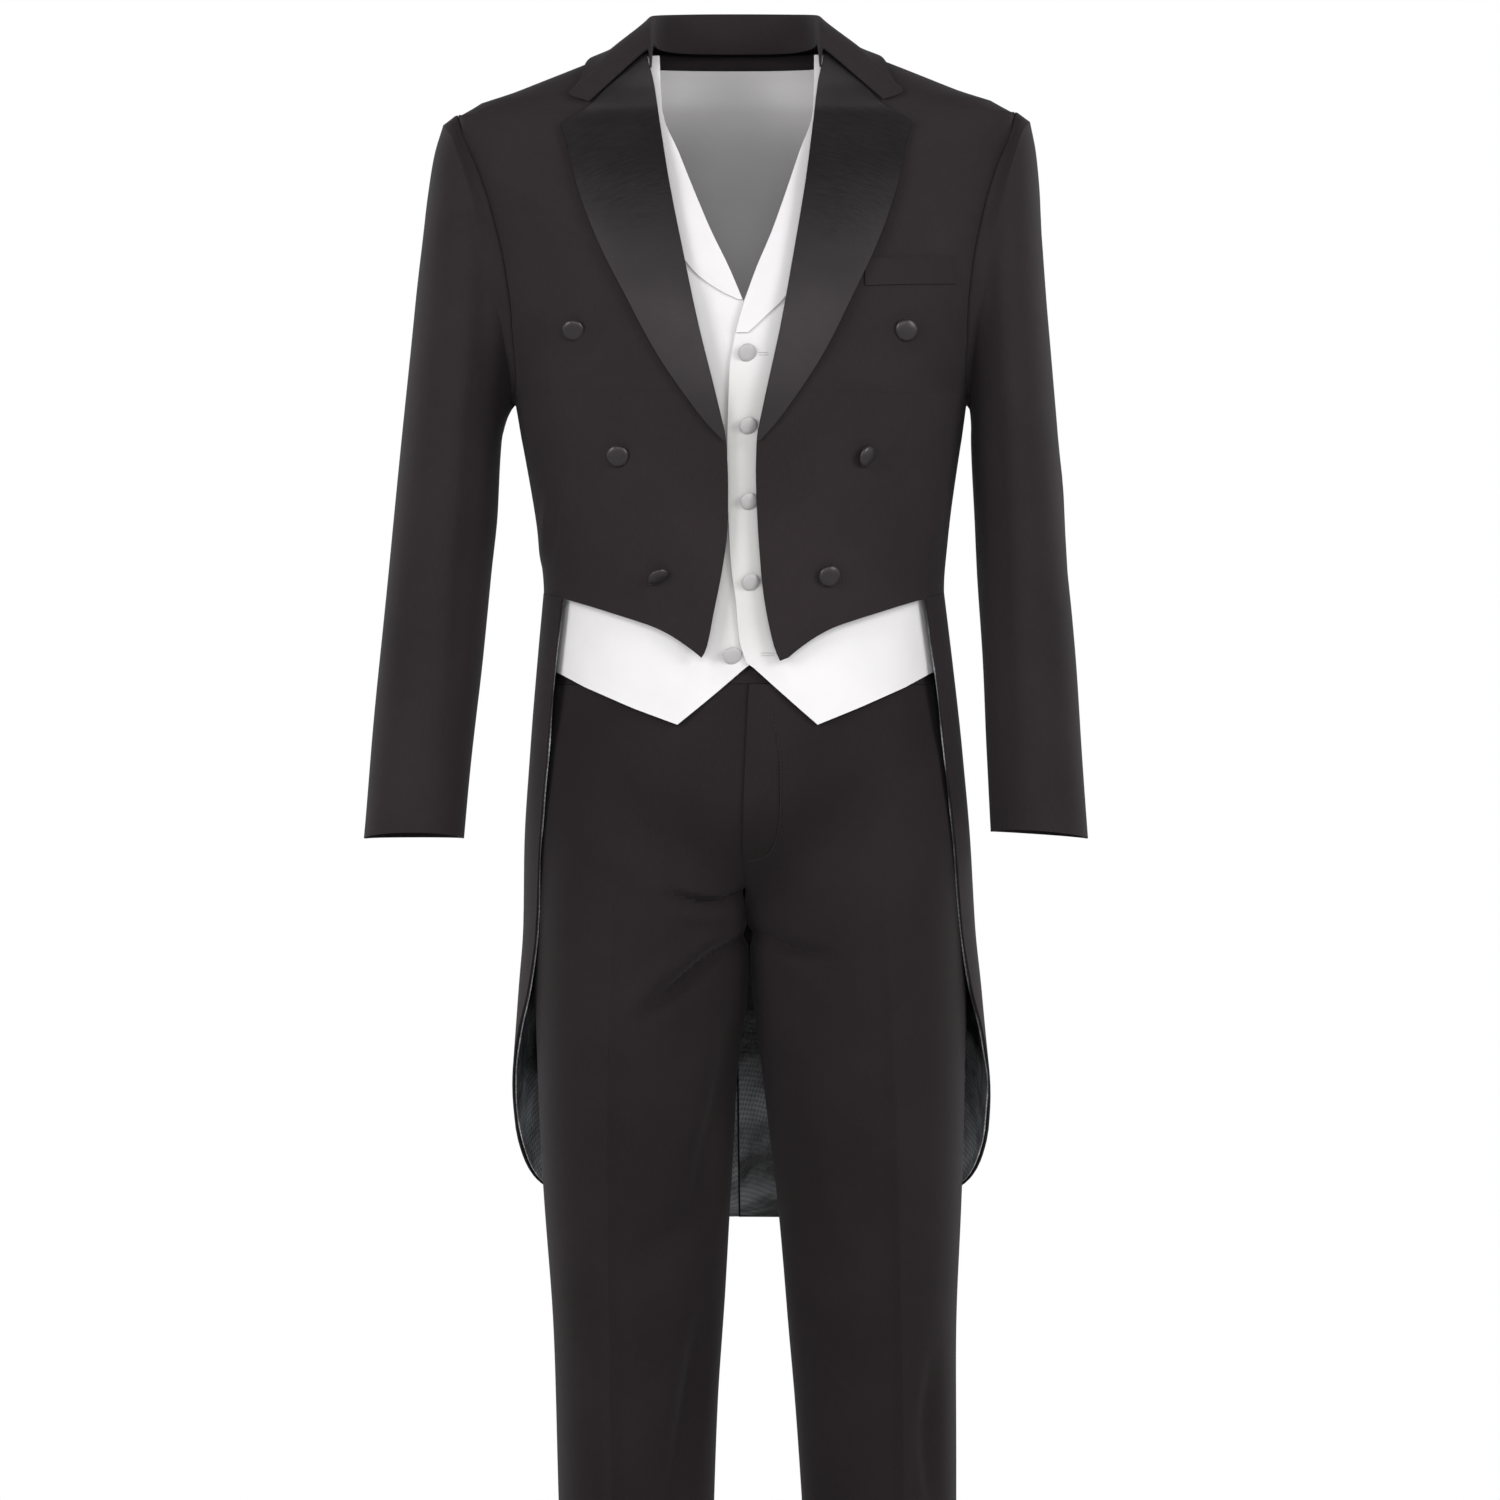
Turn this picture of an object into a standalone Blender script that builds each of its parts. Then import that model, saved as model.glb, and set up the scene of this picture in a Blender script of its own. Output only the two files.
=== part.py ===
"""A tailcoat suit as it hangs when worn: tailcoat, waistcoat and trousers.

Units are metres, +Z is up, the front faces -Y and +X is the wearer's left.
The origin lies in the neck opening, level with the tops of the shoulder seams.
"""

import math

import bmesh
import bpy
import numpy as np
from mathutils import Vector
from mathutils.bvhtree import BVHTree

# Cloth walls, seams and the way the suit hangs
WOOL_WALL = 0.0016
SATIN_WALL = 0.0012
LINING_WALL = 0.0010
LINING_GAP = 0.0010
LINING_EDGE = 0.003  # the linings stop this far short of the wool's edges
SEAM_GAP = 0.0003
HANG_LEAN = 0.0156  # sideways shift of the body for each metre down
SHOULDER_TILT = 0.0013  # the wearer's left shoulder is this much up, the right one down
TILT_REACH = (0.02, 0.19)
TILT_HEIGHTS = (-0.30, -0.12)
SQUARENESS = 2.3  # exponent of the body's rounded sections
SIDE_TURN = 98.0  # side seams, in degrees round from the front centre
WAIST_SEAM = -0.4416

# Sleeve rings and the armhole that they are sewn into
RING_POINTS = 20
SHOULDER_TIP = -0.0465
ARMPIT = -0.2850
ARMHOLE_INSET = 0.0002
ARMHOLE_LIFT = 0.0012

# Buttons: a domed top on a shank, and where each row of them sits
BUTTON_SIDES = 10
BUTTON_SHANK_SHARE = 0.32  # of the button's radius
BUTTON_PROFILE = [(0.86, 0.0), (1.0, 0.35), (0.68, 0.88)]  # shares of its radius and height
COAT_BUTTON = {"radius": 0.0094, "height": 0.0046, "shank": 0.0012, "droop": 0.06}
COAT_BUTTON_ROWS = [
    ("top", 0.1345, -0.2320),
    ("middle", 0.1000, -0.3345),
    ("low", 0.0690, -0.4315),
]
WAISTCOAT_BUTTON = {"radius": 0.0076, "height": 0.0034, "shank": 0.0008, "droop": 0.0}
WAISTCOAT_BUTTON_PLACES = [
    ("left", 0.0055, -0.2518),
    ("left", 0.0055, -0.3105),
    ("left", 0.0055, -0.3713),
    ("left", 0.0055, -0.4366),
    ("right", -0.0103, -0.4960),
]


class Table:
    """Rows of sizes under named columns, read smoothly between rows by the first column."""

    def __init__(self, columns, rows):
        names = columns.split()
        rows = sorted(rows)
        self.key = np.array([row[0] for row in rows])
        self.column = {}
        for index, name in enumerate(names[1:], start=1):
            self.column[name] = np.array([row[index] for row in rows])
        self.slope = {name: self._slopes(values) for name, values in self.column.items()}

    def _slopes(self, values):
        """Slopes that keep the curve from overshooting its rows."""
        steps = np.diff(self.key)
        rises = np.diff(values) / steps
        slopes = np.zeros(len(values))
        slopes[0] = rises[0]
        slopes[-1] = rises[-1]
        for i in range(1, len(values) - 1):
            if rises[i - 1] * rises[i] > 0:
                before = 2 * steps[i] + steps[i - 1]
                after = steps[i] + 2 * steps[i - 1]
                slopes[i] = (before + after) / (before / rises[i - 1] + after / rises[i])
        return slopes

    def at(self, key, name):
        key = min(max(key, self.key[0]), self.key[-1])
        i = min(int(np.searchsorted(self.key, key, side="right")) - 1, len(self.key) - 2)
        step = self.key[i + 1] - self.key[i]
        t = (key - self.key[i]) / step
        low, high = self.column[name][i], self.column[name][i + 1]
        m0, m1 = self.slope[name][i] * step, self.slope[name][i + 1] * step
        rise = 3 * t * t - 2 * t * t * t
        value = low + (high - low) * rise
        return float(value + m0 * (t - 2 * t * t + t ** 3) + m1 * (t ** 3 - t * t))

    def straight(self, key, name):
        """The value read along straight lines, with a corner at each row."""
        return float(np.interp(key, self.key, self.column[name]))


# Body sections by height: half width, and depth to the front and to the back
COAT_FORM = Table("z half front back", [
    (0.0125, 0.078, 0.0575, 0.066),
    (0.0040, 0.104, 0.0580, 0.067),
    (-0.0060, 0.130, 0.0585, 0.069),
    (-0.0260, 0.181, 0.0600, 0.072),
    (-0.0465, 0.2332, 0.0640, 0.077),
    (-0.0650, 0.2355, 0.0730, 0.085),
    (-0.1100, 0.2330, 0.0970, 0.105),
    (-0.1700, 0.2215, 0.1170, 0.117),
    (-0.2300, 0.2060, 0.1290, 0.119),
    (-0.2850, 0.1890, 0.1330, 0.115),
    (-0.3400, 0.1785, 0.1300, 0.105),
    (-0.4000, 0.1695, 0.1240, 0.097),
    (WAIST_SEAM, 0.1656, 0.1210, 0.095),
    (-0.5050, 0.1700, 0.1190, 0.104),
])
TAIL_FORM = Table("z half front back edge_turn", [
    (WAIST_SEAM, 0.1660, 0.1210, 0.095, 61.8),
    (-0.5130, 0.1735, 0.1190, 0.109, 63.5),
    (-0.5760, 0.1795, 0.1190, 0.122, 64.2),
    (-0.6460, 0.1850, 0.1200, 0.134, 66.2),
    (-0.7200, 0.1878, 0.1210, 0.142, 68.9),
    (-0.7680, 0.1920, 0.1210, 0.146, 73.5),
    (-0.8130, 0.1955, 0.1210, 0.149, 86.0),
    (-0.8530, 0.1988, 0.1210, 0.151, 97.0),
    (-0.8760, 0.2007, 0.1210, 0.152, 102.8),
    (-0.9010, 0.2027, 0.1210, 0.153, 108.3),
    (-0.9320, 0.2035, 0.1210, 0.154, 117.2),
    (-0.9500, 0.2035, 0.1210, 0.154, 128.0),
    (-0.9640, 0.2035, 0.1210, 0.154, 143.5),
    (-0.9735, 0.2035, 0.1210, 0.154, 164.0),
])
TAIL_ROWS = [
    -0.9735, -0.9640, -0.9500, -0.9320, -0.9010, -0.8530, -0.8130, -0.7680,
    -0.7200, -0.6500, -0.5800, -0.5100, -0.4800, -0.4560, WAIST_SEAM,
]
# The vent: how far each tail laps past the back centre, and how far it is laid in there
VENT = {"left": {"lap": 2.4, "tuck": 0.0045}, "right": {"lap": 3.4, "tuck": 0.0}}
VENT_TOP = -0.4560
VENT_FULL = -0.5100
VENT_TURNS = (150.0, 170.0)  # the tuck comes in between these turns
FLUTE_DEPTH = 0.0035
FLUTE_TURNS = 5.0
FLUTE_HEIGHTS = (-0.5500, -0.9000)
WAISTCOAT_FORM = Table("z half front back", [
    (0.0040, 0.0950, 0.0500, 0.0600),
    (-0.0140, 0.1420, 0.0530, 0.0640),
    (-0.0300, 0.1825, 0.0530, 0.0650),
    (-0.0450, 0.2120, 0.0565, 0.0690),
    (-0.0850, 0.2150, 0.0750, 0.0850),
    (-0.1400, 0.2060, 0.0990, 0.1030),
    (-0.2000, 0.1970, 0.1150, 0.1100),
    (-0.2850, 0.1810, 0.1240, 0.1070),
    (-0.3400, 0.1710, 0.1215, 0.0970),
    (-0.4000, 0.1625, 0.1155, 0.0890),
    (WAIST_SEAM, 0.1588, 0.1125, 0.0870),
    (-0.5000, 0.1635, 0.1110, 0.0930),
    (-0.5560, 0.1680, 0.1130, 0.1000),
])
HIP_FORM = Table("z half front back", [
    (-0.4800, 0.1540, 0.1000, 0.0820),
    (-0.5190, 0.1605, 0.1062, 0.0880),
    (-0.5600, 0.1670, 0.1090, 0.0990),
    (-0.6000, 0.1715, 0.1110, 0.1080),
    (-0.6600, 0.1765, 0.1115, 0.1150),
    (-0.7200, 0.1790, 0.1110, 0.1160),
    (-0.7700, 0.1790, 0.1100, 0.1140),
])
# Legs by height: middle from the centre line, half width, crease line, depths, middle in depth
LEG_FORM = Table("z middle half crease front back deep", [
    (-0.6000, 0.0880, 0.0860, 0.104, 0.109, 0.104, 0.000),
    (-0.7350, 0.0894, 0.0892, 0.112, 0.109, 0.110, 0.000),
    (-0.8500, 0.0938, 0.0830, 0.117, 0.104, 0.108, 0.002),
    (-0.9620, 0.0965, 0.0757, 0.1185, 0.098, 0.100, 0.004),
    (-1.0400, 0.0973, 0.0708, 0.1190, 0.094, 0.095, 0.006),
    (-1.1150, 0.0991, 0.0671, 0.1195, 0.091, 0.092, 0.009),
    (-1.1950, 0.1006, 0.0646, 0.1190, 0.089, 0.091, 0.013),
    (-1.3300, 0.1030, 0.0613, 0.1190, 0.087, 0.089, 0.018),
    (-1.5300, 0.1056, 0.0581, 0.1180, 0.085, 0.088, 0.024),
])
CREASE_SHARPNESS = 0.22
WAISTBAND_WALL = 0.0022
WAISTBAND_ROWS = [-0.5192, -0.5000, -0.4800]
WAISTBAND_ENDS = 0.003  # where its ends meet, off the centre line
TROUSER_ROWS = [
    -1.5300, -1.3700, -1.2200, -1.0900, -0.9800, -0.8900, -0.8300, -0.7850, -0.7550,
    -0.7350, -0.7150, -0.6950, -0.6750, -0.6500, -0.6100, -0.5650, -0.5195,
]
# Where the hips' section turns into the legs': at the sides, and at the centre seams
HIP_BLEND_TOP = -0.5400
HIP_BLEND_LOW = -0.7200
CROTCH_BLEND_TOP = -0.6050
CROTCH_BLEND_LOW = -0.7480
SEAM_SHARES = (0.45, 1.0)  # shares of a panel's width between those two

# Edges of the coat's fronts
FRONT_EDGE = Table("z reach", [
    (0.0125, 0.0765),
    (0.0040, 0.0745),
    (-0.0060, 0.0722),
    (-0.0120, 0.0705),
    (-0.0230, 0.0678),
    (-0.0600, 0.0625),
    (-0.1060, 0.0560),
    (-0.1680, 0.0450),
    (-0.2300, 0.0330),
    (-0.2900, 0.0192),
    (-0.3250, 0.0122),
    (-0.3550, 0.0112),
    (-0.3900, 0.0120),
    (-0.4270, 0.0155),
    (-0.4630, 0.0215),
    (-0.4915, 0.0278),
    (-0.5010, 0.0318),
])
CUTAWAY = Table("turn drop", [
    (8.4, 0.0595),
    (12.6, 0.0490),
    (18.0, 0.0385),
    (23.0, 0.0318),
    (28.0, 0.0273),
    (36.5, 0.0210),
    (48.0, 0.0138),
    (58.0, 0.0090),
    (73.0, 0.0040),
    (SIDE_TURN, 0.0000),
])
CUTAWAY_START = -0.3250
FRONT_SWAY = 0.0033  # the fronts' closing edges swing this far to the wearer's right
SWAY_TOP = -0.3900
SWAY_FULL = -0.4700
BODY_ROWS_LOW = [WAIST_SEAM, -0.4000, -0.3550, -0.3150]
BODY_ROWS_TOP = [-0.0360, -0.0250, -0.0130, -0.0010, 0.0105]
ARMHOLE = Table("z front back", [
    (SHOULDER_TIP, 90.0, 90.0),
    (-0.0523, 81.5, 97.5),
    (-0.0693, 73.5, 105.0),
    (-0.0957, 65.5, 113.0),
    (-0.1289, 61.0, 117.5),
    (-0.1658, 60.0, 119.0),
    (-0.2026, 61.5, 118.0),
    (-0.2359, 66.0, 115.0),
    (-0.2623, 71.5, 110.5),
    (-0.2792, 79.5, 105.0),
    (ARMPIT, SIDE_TURN, SIDE_TURN),
])

# Satin lapels: how far out their outer edge lies, up to the corner, notch and gorge seam
LAPEL_EDGE = Table("z reach", [
    (-0.3235, 0.0150),
    (-0.3100, 0.0274),
    (-0.2890, 0.0432),
    (-0.2545, 0.0660),
    (-0.2050, 0.0915),
    (-0.1715, 0.1080),
    (-0.1385, 0.1215),
    (-0.1070, 0.1315),
    (-0.0800, 0.1375),
    (-0.0614, 0.1428),
])
LAPEL_TOP = Table("z reach", [
    (-0.0614, 0.1428),
    (-0.0430, 0.1172),
    (-0.0300, 0.1050),
    (-0.0150, 0.0885),
    (-0.0020, 0.0745),
])
LAPEL_ROWS = [
    -0.3235, -0.3160, -0.3050, -0.2850, -0.2600, -0.2300, -0.1950, -0.1600, -0.1250,
    -0.0900, -0.0720, -0.0614, -0.0520, -0.0430, -0.0300, -0.0150, -0.0035,
]
LAPEL_LIFT = 0.0030
LAPEL_SETBACK = 0.0003
LAPEL_CLEAR = 0.0021

# Collar stations from the gorge to the back centre: roll line, outer edge on the coat, stand,
# and how far the fall's middle and its lower part lie off straight lines
COLLAR_COLUMNS = "station roll_x roll_y roll_z edge_turn edge_z stand belly_out belly_up sag"
COLLAR = Table(COLLAR_COLUMNS, [
    (0.0, 0.0708, -0.0560, 0.0015, 28.8, -0.0415, 0.015, 0.0000, 0.0000, 0.0000),
    (1.0, 0.0705, -0.0505, 0.0085, 38.6, -0.0340, 0.016, 0.0010, 0.0010, 0.0000),
    (2.0, 0.0699, -0.0390, 0.0195, 43.5, -0.0248, 0.0175, 0.0010, 0.0010, 0.0000),
    (3.0, 0.0690, -0.0220, 0.0290, 54.0, -0.0134, 0.019, -0.0035, 0.0025, 0.0015),
    (4.0, 0.0675, 0.0040, 0.0360, 84.0, -0.0015, 0.025, -0.0145, 0.0035, 0.0040),
    (5.0, 0.0610, 0.0290, 0.0400, 118.0, -0.0040, 0.029, -0.0055, 0.0030, 0.0020),
    (6.0, 0.0400, 0.0500, 0.0430, 149.0, -0.0060, 0.032, 0.0018, 0.0025, 0.0000),
    (7.0, 0.0000, 0.0590, 0.0445, 180.0, -0.0080, 0.033, 0.0020, 0.0020, 0.0000),
])
COLLAR_REST = 0.0034  # the fall's edge above the coat's form
# The roll's outer shoulder, inner side and foot: how far out from the roll line, and how far down
ROLL_SHOULDER = (0.0042, 0.0006)
ROLL_INSIDE = (-0.0012, 0.0035)
ROLL_FOOT = -0.0020

# Sleeve rings below the armhole, each from its outer to its inner point
SLEEVE = Table("ring outer_x outer_z inner_x inner_z deep half_depth bow", [
    (1, 0.2438, -0.0530, 0.1925, -0.2925, -0.001, 0.0660, 0.0130),
    (2, 0.2500, -0.0800, 0.1935, -0.2990, -0.002, 0.0695, 0.0090),
    (3, 0.2550, -0.1200, 0.1940, -0.3060, -0.003, 0.0715, 0.0050),
    (4, 0.2605, -0.1800, 0.1950, -0.3170, -0.004, 0.0730, 0.0020),
    (5, 0.2665, -0.2500, 0.1965, -0.3370, -0.005, 0.0725, 0.0000),
    (6, 0.2735, -0.3300, 0.1990, -0.3760, -0.007, 0.0695, 0.0000),
    (7, 0.2805, -0.4100, 0.2025, -0.4300, -0.010, 0.0650, 0.0000),
    (8, 0.2872, -0.4900, 0.2080, -0.4960, -0.014, 0.0595, 0.0000),
    (9, 0.2935, -0.5700, 0.2140, -0.5710, -0.020, 0.0535, 0.0000),
    (10, 0.2990, -0.6460, 0.2192, -0.6460, -0.027, 0.0480, 0.0000),
])
# How far each arm, held a little differently, shifts its rings' outer and inner points outwards
SLEEVE_SHIFT = {
    "left": Table("ring outer inner", [
        (1, 0.0000, 0.0000),
        (2, -0.0018, -0.0015),
        (3, -0.0038, -0.0030),
        (4, -0.0062, -0.0048),
        (5, -0.0085, -0.0060),
        (6, -0.0108, -0.0070),
        (7, -0.0133, -0.0092),
        (8, -0.0145, -0.0120),
        (9, -0.0168, -0.0162),
        (10, -0.0180, -0.0185),
    ]),
    "right": Table("ring outer inner", [
        (1, 0.0000, 0.0000),
        (2, 0.0015, 0.0013),
        (3, 0.0032, 0.0024),
        (4, 0.0054, 0.0034),
        (5, 0.0075, 0.0034),
        (6, 0.0097, 0.0032),
        (7, 0.0120, 0.0062),
        (8, 0.0138, 0.0086),
        (9, 0.0160, 0.0122),
        (10, 0.0175, 0.0150),
    ]),
}
SLEEVE_STATIONS = [1, 1.5, 2, 2.7, 3.4, 4.2, 5, 6, 7, 8, 9, 10]
# How far a cuff's front rises between its corners, and its inner corner above its outer one
CUFFS = {"left": {"rise": 0.0040, "slant": 0.0055}, "right": {"rise": 0.0055, "slant": 0.0}}
CUFF_RINGS = (8, 10)

# The breast pocket's welt: height of its lower edge, and its depth, along its length
WELT = Table("reach low high", [
    (0.1020, -0.1975, -0.1755),
    (0.1760, -0.1940, -0.1715),
])
WELT_WALL = 0.0011

# Waistcoat edges
WAISTCOAT_V = Table("z reach", [
    (0.0040, 0.0640),
    (-0.0500, 0.0615),
    (-0.0850, 0.0490),
    (-0.1120, 0.0395),
    (-0.1530, 0.0240),
    (-0.1820, 0.0110),
    (-0.2100, 0.0000),
])
OVERLAP_EDGE = Table("z reach", [
    (-0.2100, 0.0000),
    (-0.2380, -0.0075),
    (-0.2660, -0.0120),
    (-0.3550, -0.0150),
    (-0.4200, -0.0135),
    (-0.4520, -0.0100),
    (-0.4840, -0.0075),
    (-0.5060, 0.0000),
])
WAISTCOAT_ROWS = [
    -0.5000, -0.4650, -0.4250, -0.3700, -0.3200, -0.2880, -0.2800, -0.2620, -0.2350,
    -0.2100, -0.1820, -0.1450, -0.0950, -0.0500, -0.0330, -0.0215, -0.0110, -0.0020,
]
WAISTCOAT_CENTRE = 0.0038  # the closing line's shift to the wearer's left
CENTRE_REACH = 0.09  # and how far from the centre the shift fades out
LAP_TUCK = 0.0028
TUCK_REACH = (0.026, 0.060)  # where the under front comes back out again
TUCK_HEIGHTS = (-0.1600, -0.2100)
LAPS = {"left": {"lap": 1.0, "tuck": 0.0}, "right": {"lap": 0.8, "tuck": LAP_TUCK}}
HEM_START = -0.4000  # the waistcoat's rows follow its hem from here down
HEM_TOP = -0.5000
HEM_TIP = 0.0555
TIP_SHARE = 0.15  # the least share of a front's width before the tip
WAISTCOAT_HEM = Table("reach z", [
    (-0.0200, -0.4960),
    (0.0000, -0.5035),
    (HEM_TIP, -0.5525),
    (0.0900, -0.5390),
    (0.1300, -0.5215),
    (0.1520, -0.5100),
    (0.1700, -0.5050),
])
WAISTCOAT_BACK_HEM = -0.5050
REVERS_ROWS = [-0.1860, -0.1700, -0.1500, -0.1200, -0.0900, -0.0600, -0.0400, -0.0240]
REVERS_LOW_ROWS = {
    "left": [-0.2360, -0.2280, -0.2200, -0.2100, -0.2040],
    "right": [-0.2085, -0.2050, -0.2020, -0.1940],
}
REVERS_EDGE = [(-0.1500, 0.0600), (-0.1000, 0.0790), (-0.0500, 0.0860), (-0.0240, 0.0820)]
REVERS_LOW_EDGE = {
    "left": [(-0.2360, 0.0030), (-0.2200, 0.0210), (-0.2040, 0.0370)],
    "right": [(-0.2085, 0.0040), (-0.2020, 0.0170), (-0.1860, 0.0380)],
}
REVERS_CLEAR = 0.0008
REVERS_SETBACK = 0.0004
WAISTCOAT_ARMHOLE = Table("z front back", [
    (-0.0215, 90.0, 90.0),
    (-0.0260, 67.0, 113.0),
    (-0.0350, 53.0, 126.0),
    (-0.0500, 44.0, 134.0),
    (-0.0850, 41.0, 137.0),
    (-0.1300, 43.0, 136.0),
    (-0.1700, 47.0, 132.0),
    (-0.2100, 54.0, 126.0),
    (-0.2450, 63.0, 117.0),
    (-0.2680, 73.0, 109.0),
    (-0.2820, 85.0, 102.0),
    (-0.2880, SIDE_TURN, SIDE_TURN),
])


def smooth(low, high, value):
    t = np.clip((value - low) / (high - low), 0.0, 1.0)
    return t * t * (3 - 2 * t)


def on_form(form, z, turn):
    """The point of a form at a height and at a turn round from its front centre."""
    angle = math.radians(turn)
    side, ahead = math.sin(angle), math.cos(angle)
    depth = form.at(z, "front" if ahead > 0 else "back")
    power = 2 / SQUARENESS
    x = form.at(z, "half") * math.copysign(abs(side) ** power, side)
    y = -depth * math.copysign(abs(ahead) ** power, ahead)
    return np.array([x, y, z])


def turn_at(form, z, reach):
    """The turn on the front at which a form lies this far from the centre line."""
    share = min(abs(reach) / form.at(z, "half"), 1.0)
    return math.copysign(math.degrees(math.asin(share ** (SQUARENESS / 2))), reach)


def form_normal(form, z, turn):
    small_turn, small_rise = 0.5, 0.002
    across = on_form(form, z, turn + small_turn) - on_form(form, z, turn - small_turn)
    up = on_form(form, z + small_rise, turn) - on_form(form, z - small_rise, turn)
    normal = np.cross(across, up)
    return normal / np.linalg.norm(normal)


def raised(form, z, turn, out):
    return on_form(form, z, turn) + form_normal(form, z, turn) * out


def layer(form, cells, inset=0.0):
    """Points for rows of cells, each a height, a turn and how far out from the form."""
    return [[raised(form, z, turn, out - inset) for z, turn, out in row] for row in cells]


def grid_normals(grid, ring):
    """Unit normals of a grid of points, by central differences."""
    if ring:
        across = np.roll(grid, -1, axis=1) - np.roll(grid, 1, axis=1)
    else:
        across = np.gradient(grid, axis=1)
    along = np.gradient(grid, axis=0)
    normals = np.cross(across, along)
    return normals / np.linalg.norm(normals, axis=2, keepdims=True)


def pulled_in(grid, ring, gap):
    """The grid with its edges drawn back by a gap, so that sewn neighbours stay apart."""
    grid = grid.copy()
    lines = [grid] if ring else [grid, np.swapaxes(grid, 0, 1)]
    for line in lines:
        for edge, inner in ((0, 1), (-1, -2)):
            step = line[inner] - line[edge]
            line[edge] += gap * step / np.linalg.norm(step, axis=1, keepdims=True)
    return grid


def lean(points):
    """Tilts the shoulders and shifts points sideways with their depth, as the suit hangs."""
    points = points.copy()
    across, height = points[..., 0], points[..., 2]
    tilt = np.sign(across) * smooth(*TILT_REACH, np.abs(across)) * smooth(*TILT_HEIGHTS, height)
    points[..., 0] = across - HANG_LEAN * height
    points[..., 2] = height + SHOULDER_TILT * tilt
    return points


def material_named(name, colour, roughness, metallic=0.0):
    material = bpy.data.materials.get(name)
    if material is None:
        material = bpy.data.materials.new(name)
        material.use_nodes = True
        shader = material.node_tree.nodes["Principled BSDF"]
        shader.inputs["Base Color"].default_value = (*colour, 1.0)
        shader.inputs["Roughness"].default_value = roughness
        shader.inputs["Metallic"].default_value = metallic
    return material


def add_object(name, points, faces, look):
    mesh = bpy.data.meshes.new(name)
    mesh.from_pydata([tuple(point) for point in points], [], faces)
    mesh.validate()
    mesh.materials.append(material_named(*look))
    solid = bpy.data.objects.new(name, mesh)
    bpy.context.collection.objects.link(solid)
    mesh.shade_smooth()
    mesh.set_sharp_from_angle(angle=math.radians(40))
    return solid


def add_walls(name, grid, inner, look, ring=False):
    """A closed wall between an outer and an inner grid of points.

    The columns of a grid run anticlockwise seen from above and its rows run upwards,
    so that its normals point out of the garment.
    """
    rows, columns = grid.shape[:2]
    points = np.concatenate([grid.reshape(-1, 3), inner.reshape(-1, 3)])
    back = rows * columns

    def corner(row, column):
        return row * columns + column % columns

    faces = []
    spans = columns if ring else columns - 1
    for row in range(rows - 1):
        for column in range(spans):
            a, b = corner(row, column), corner(row, column + 1)
            c, d = corner(row + 1, column + 1), corner(row + 1, column)
            faces += [(a, b, c), (a, c, d)]
            faces += [(back + c, back + b, back + a), (back + d, back + c, back + a)]
    for column in range(spans):
        a, b = corner(0, column), corner(0, column + 1)
        faces.append((b, a, back + a, back + b))
        c, d = corner(rows - 1, column), corner(rows - 1, column + 1)
        faces.append((c, d, back + d, back + c))
    if not ring:
        for row in range(rows - 1):
            a, b = corner(row, 0), corner(row + 1, 0)
            faces.append((a, b, back + b, back + a))
            c, d = corner(row, columns - 1), corner(row + 1, columns - 1)
            faces.append((d, c, back + c, back + d))
    return add_object(name, points, faces, look)


def add_cloth(name, grid, wall, look, ring=False, spare=False):
    """A wall thickened inwards along its own normals, less a spare column at each side."""
    grid = lean(np.asarray(grid, dtype=float))
    inner = grid - grid_normals(grid, ring) * wall
    if spare:
        grid, inner = grid[:, 1:-1], inner[:, 1:-1]
    gap = SEAM_GAP / 2
    return add_walls(name, pulled_in(grid, ring, gap), pulled_in(inner, ring, gap), look, ring)


def mirrored(grid):
    """The same grid on the wearer's right, its columns turned round to face out."""
    return np.asarray(grid)[:, ::-1] * np.array([-1.0, 1.0, 1.0])


def add_panel(name, form, cells, wall, look, side=1, gap=SEAM_GAP / 2, shift=None):
    """A panel on a form, or its mirror image on the wearer's right."""
    grids = [np.array(layer(form, cells)), np.array(layer(form, cells, wall))]
    if side < 0:
        grids = [mirrored(grid) for grid in grids]
    if shift is not None:
        grids = [shift(grid) for grid in grids]
    grids = [pulled_in(lean(grid), False, gap) for grid in grids]
    return add_walls(name, *grids, look)


def both_sides(name, form, cells, wall, look):
    for end, side in (("left", 1), ("right", -1)):
        add_panel(f"{name}_{end}", form, cells, wall, look, side)


WOOL = ("wool", (0.024, 0.020, 0.022), 0.85)
TROUSER_WOOL = ("trouser_wool", (0.024, 0.019, 0.021), 0.85)
SATIN = ("satin", (0.030, 0.027, 0.030), 0.35)
LINING = ("lining", (0.045, 0.045, 0.047), 0.40)
WHITE_CLOTH = ("white_cloth", (0.82, 0.80, 0.81), 0.60)
WHITE_SATIN = ("white_satin", (0.70, 0.68, 0.68), 0.40)


def ring_heights():
    """Heights of a sleeve ring's points round half of the armhole, armpit first."""
    middle, reach = (SHOULDER_TIP + ARMPIT) / 2, (SHOULDER_TIP - ARMPIT) / 2
    half = RING_POINTS // 2
    return [middle - reach * math.cos(math.pi * i / half) for i in range(half + 1)]


def body_heights():
    """Heights of the rows of the coat's body, waist seam first."""
    return BODY_ROWS_LOW + ring_heights() + BODY_ROWS_TOP


def even_steps(first, last, count):
    """Evenly spaced turns, or other sizes, from the first to the last."""
    return [first + (last - first) * i / (count - 1) for i in range(count)]


def outer_turn(z, column, table, low, tip):
    """Where a body panel ends: side seam, armhole or shoulder seam."""
    if z <= low + 1e-6:
        return SIDE_TURN
    if z >= tip:
        return 90.0
    return table.at(z, column)


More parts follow.
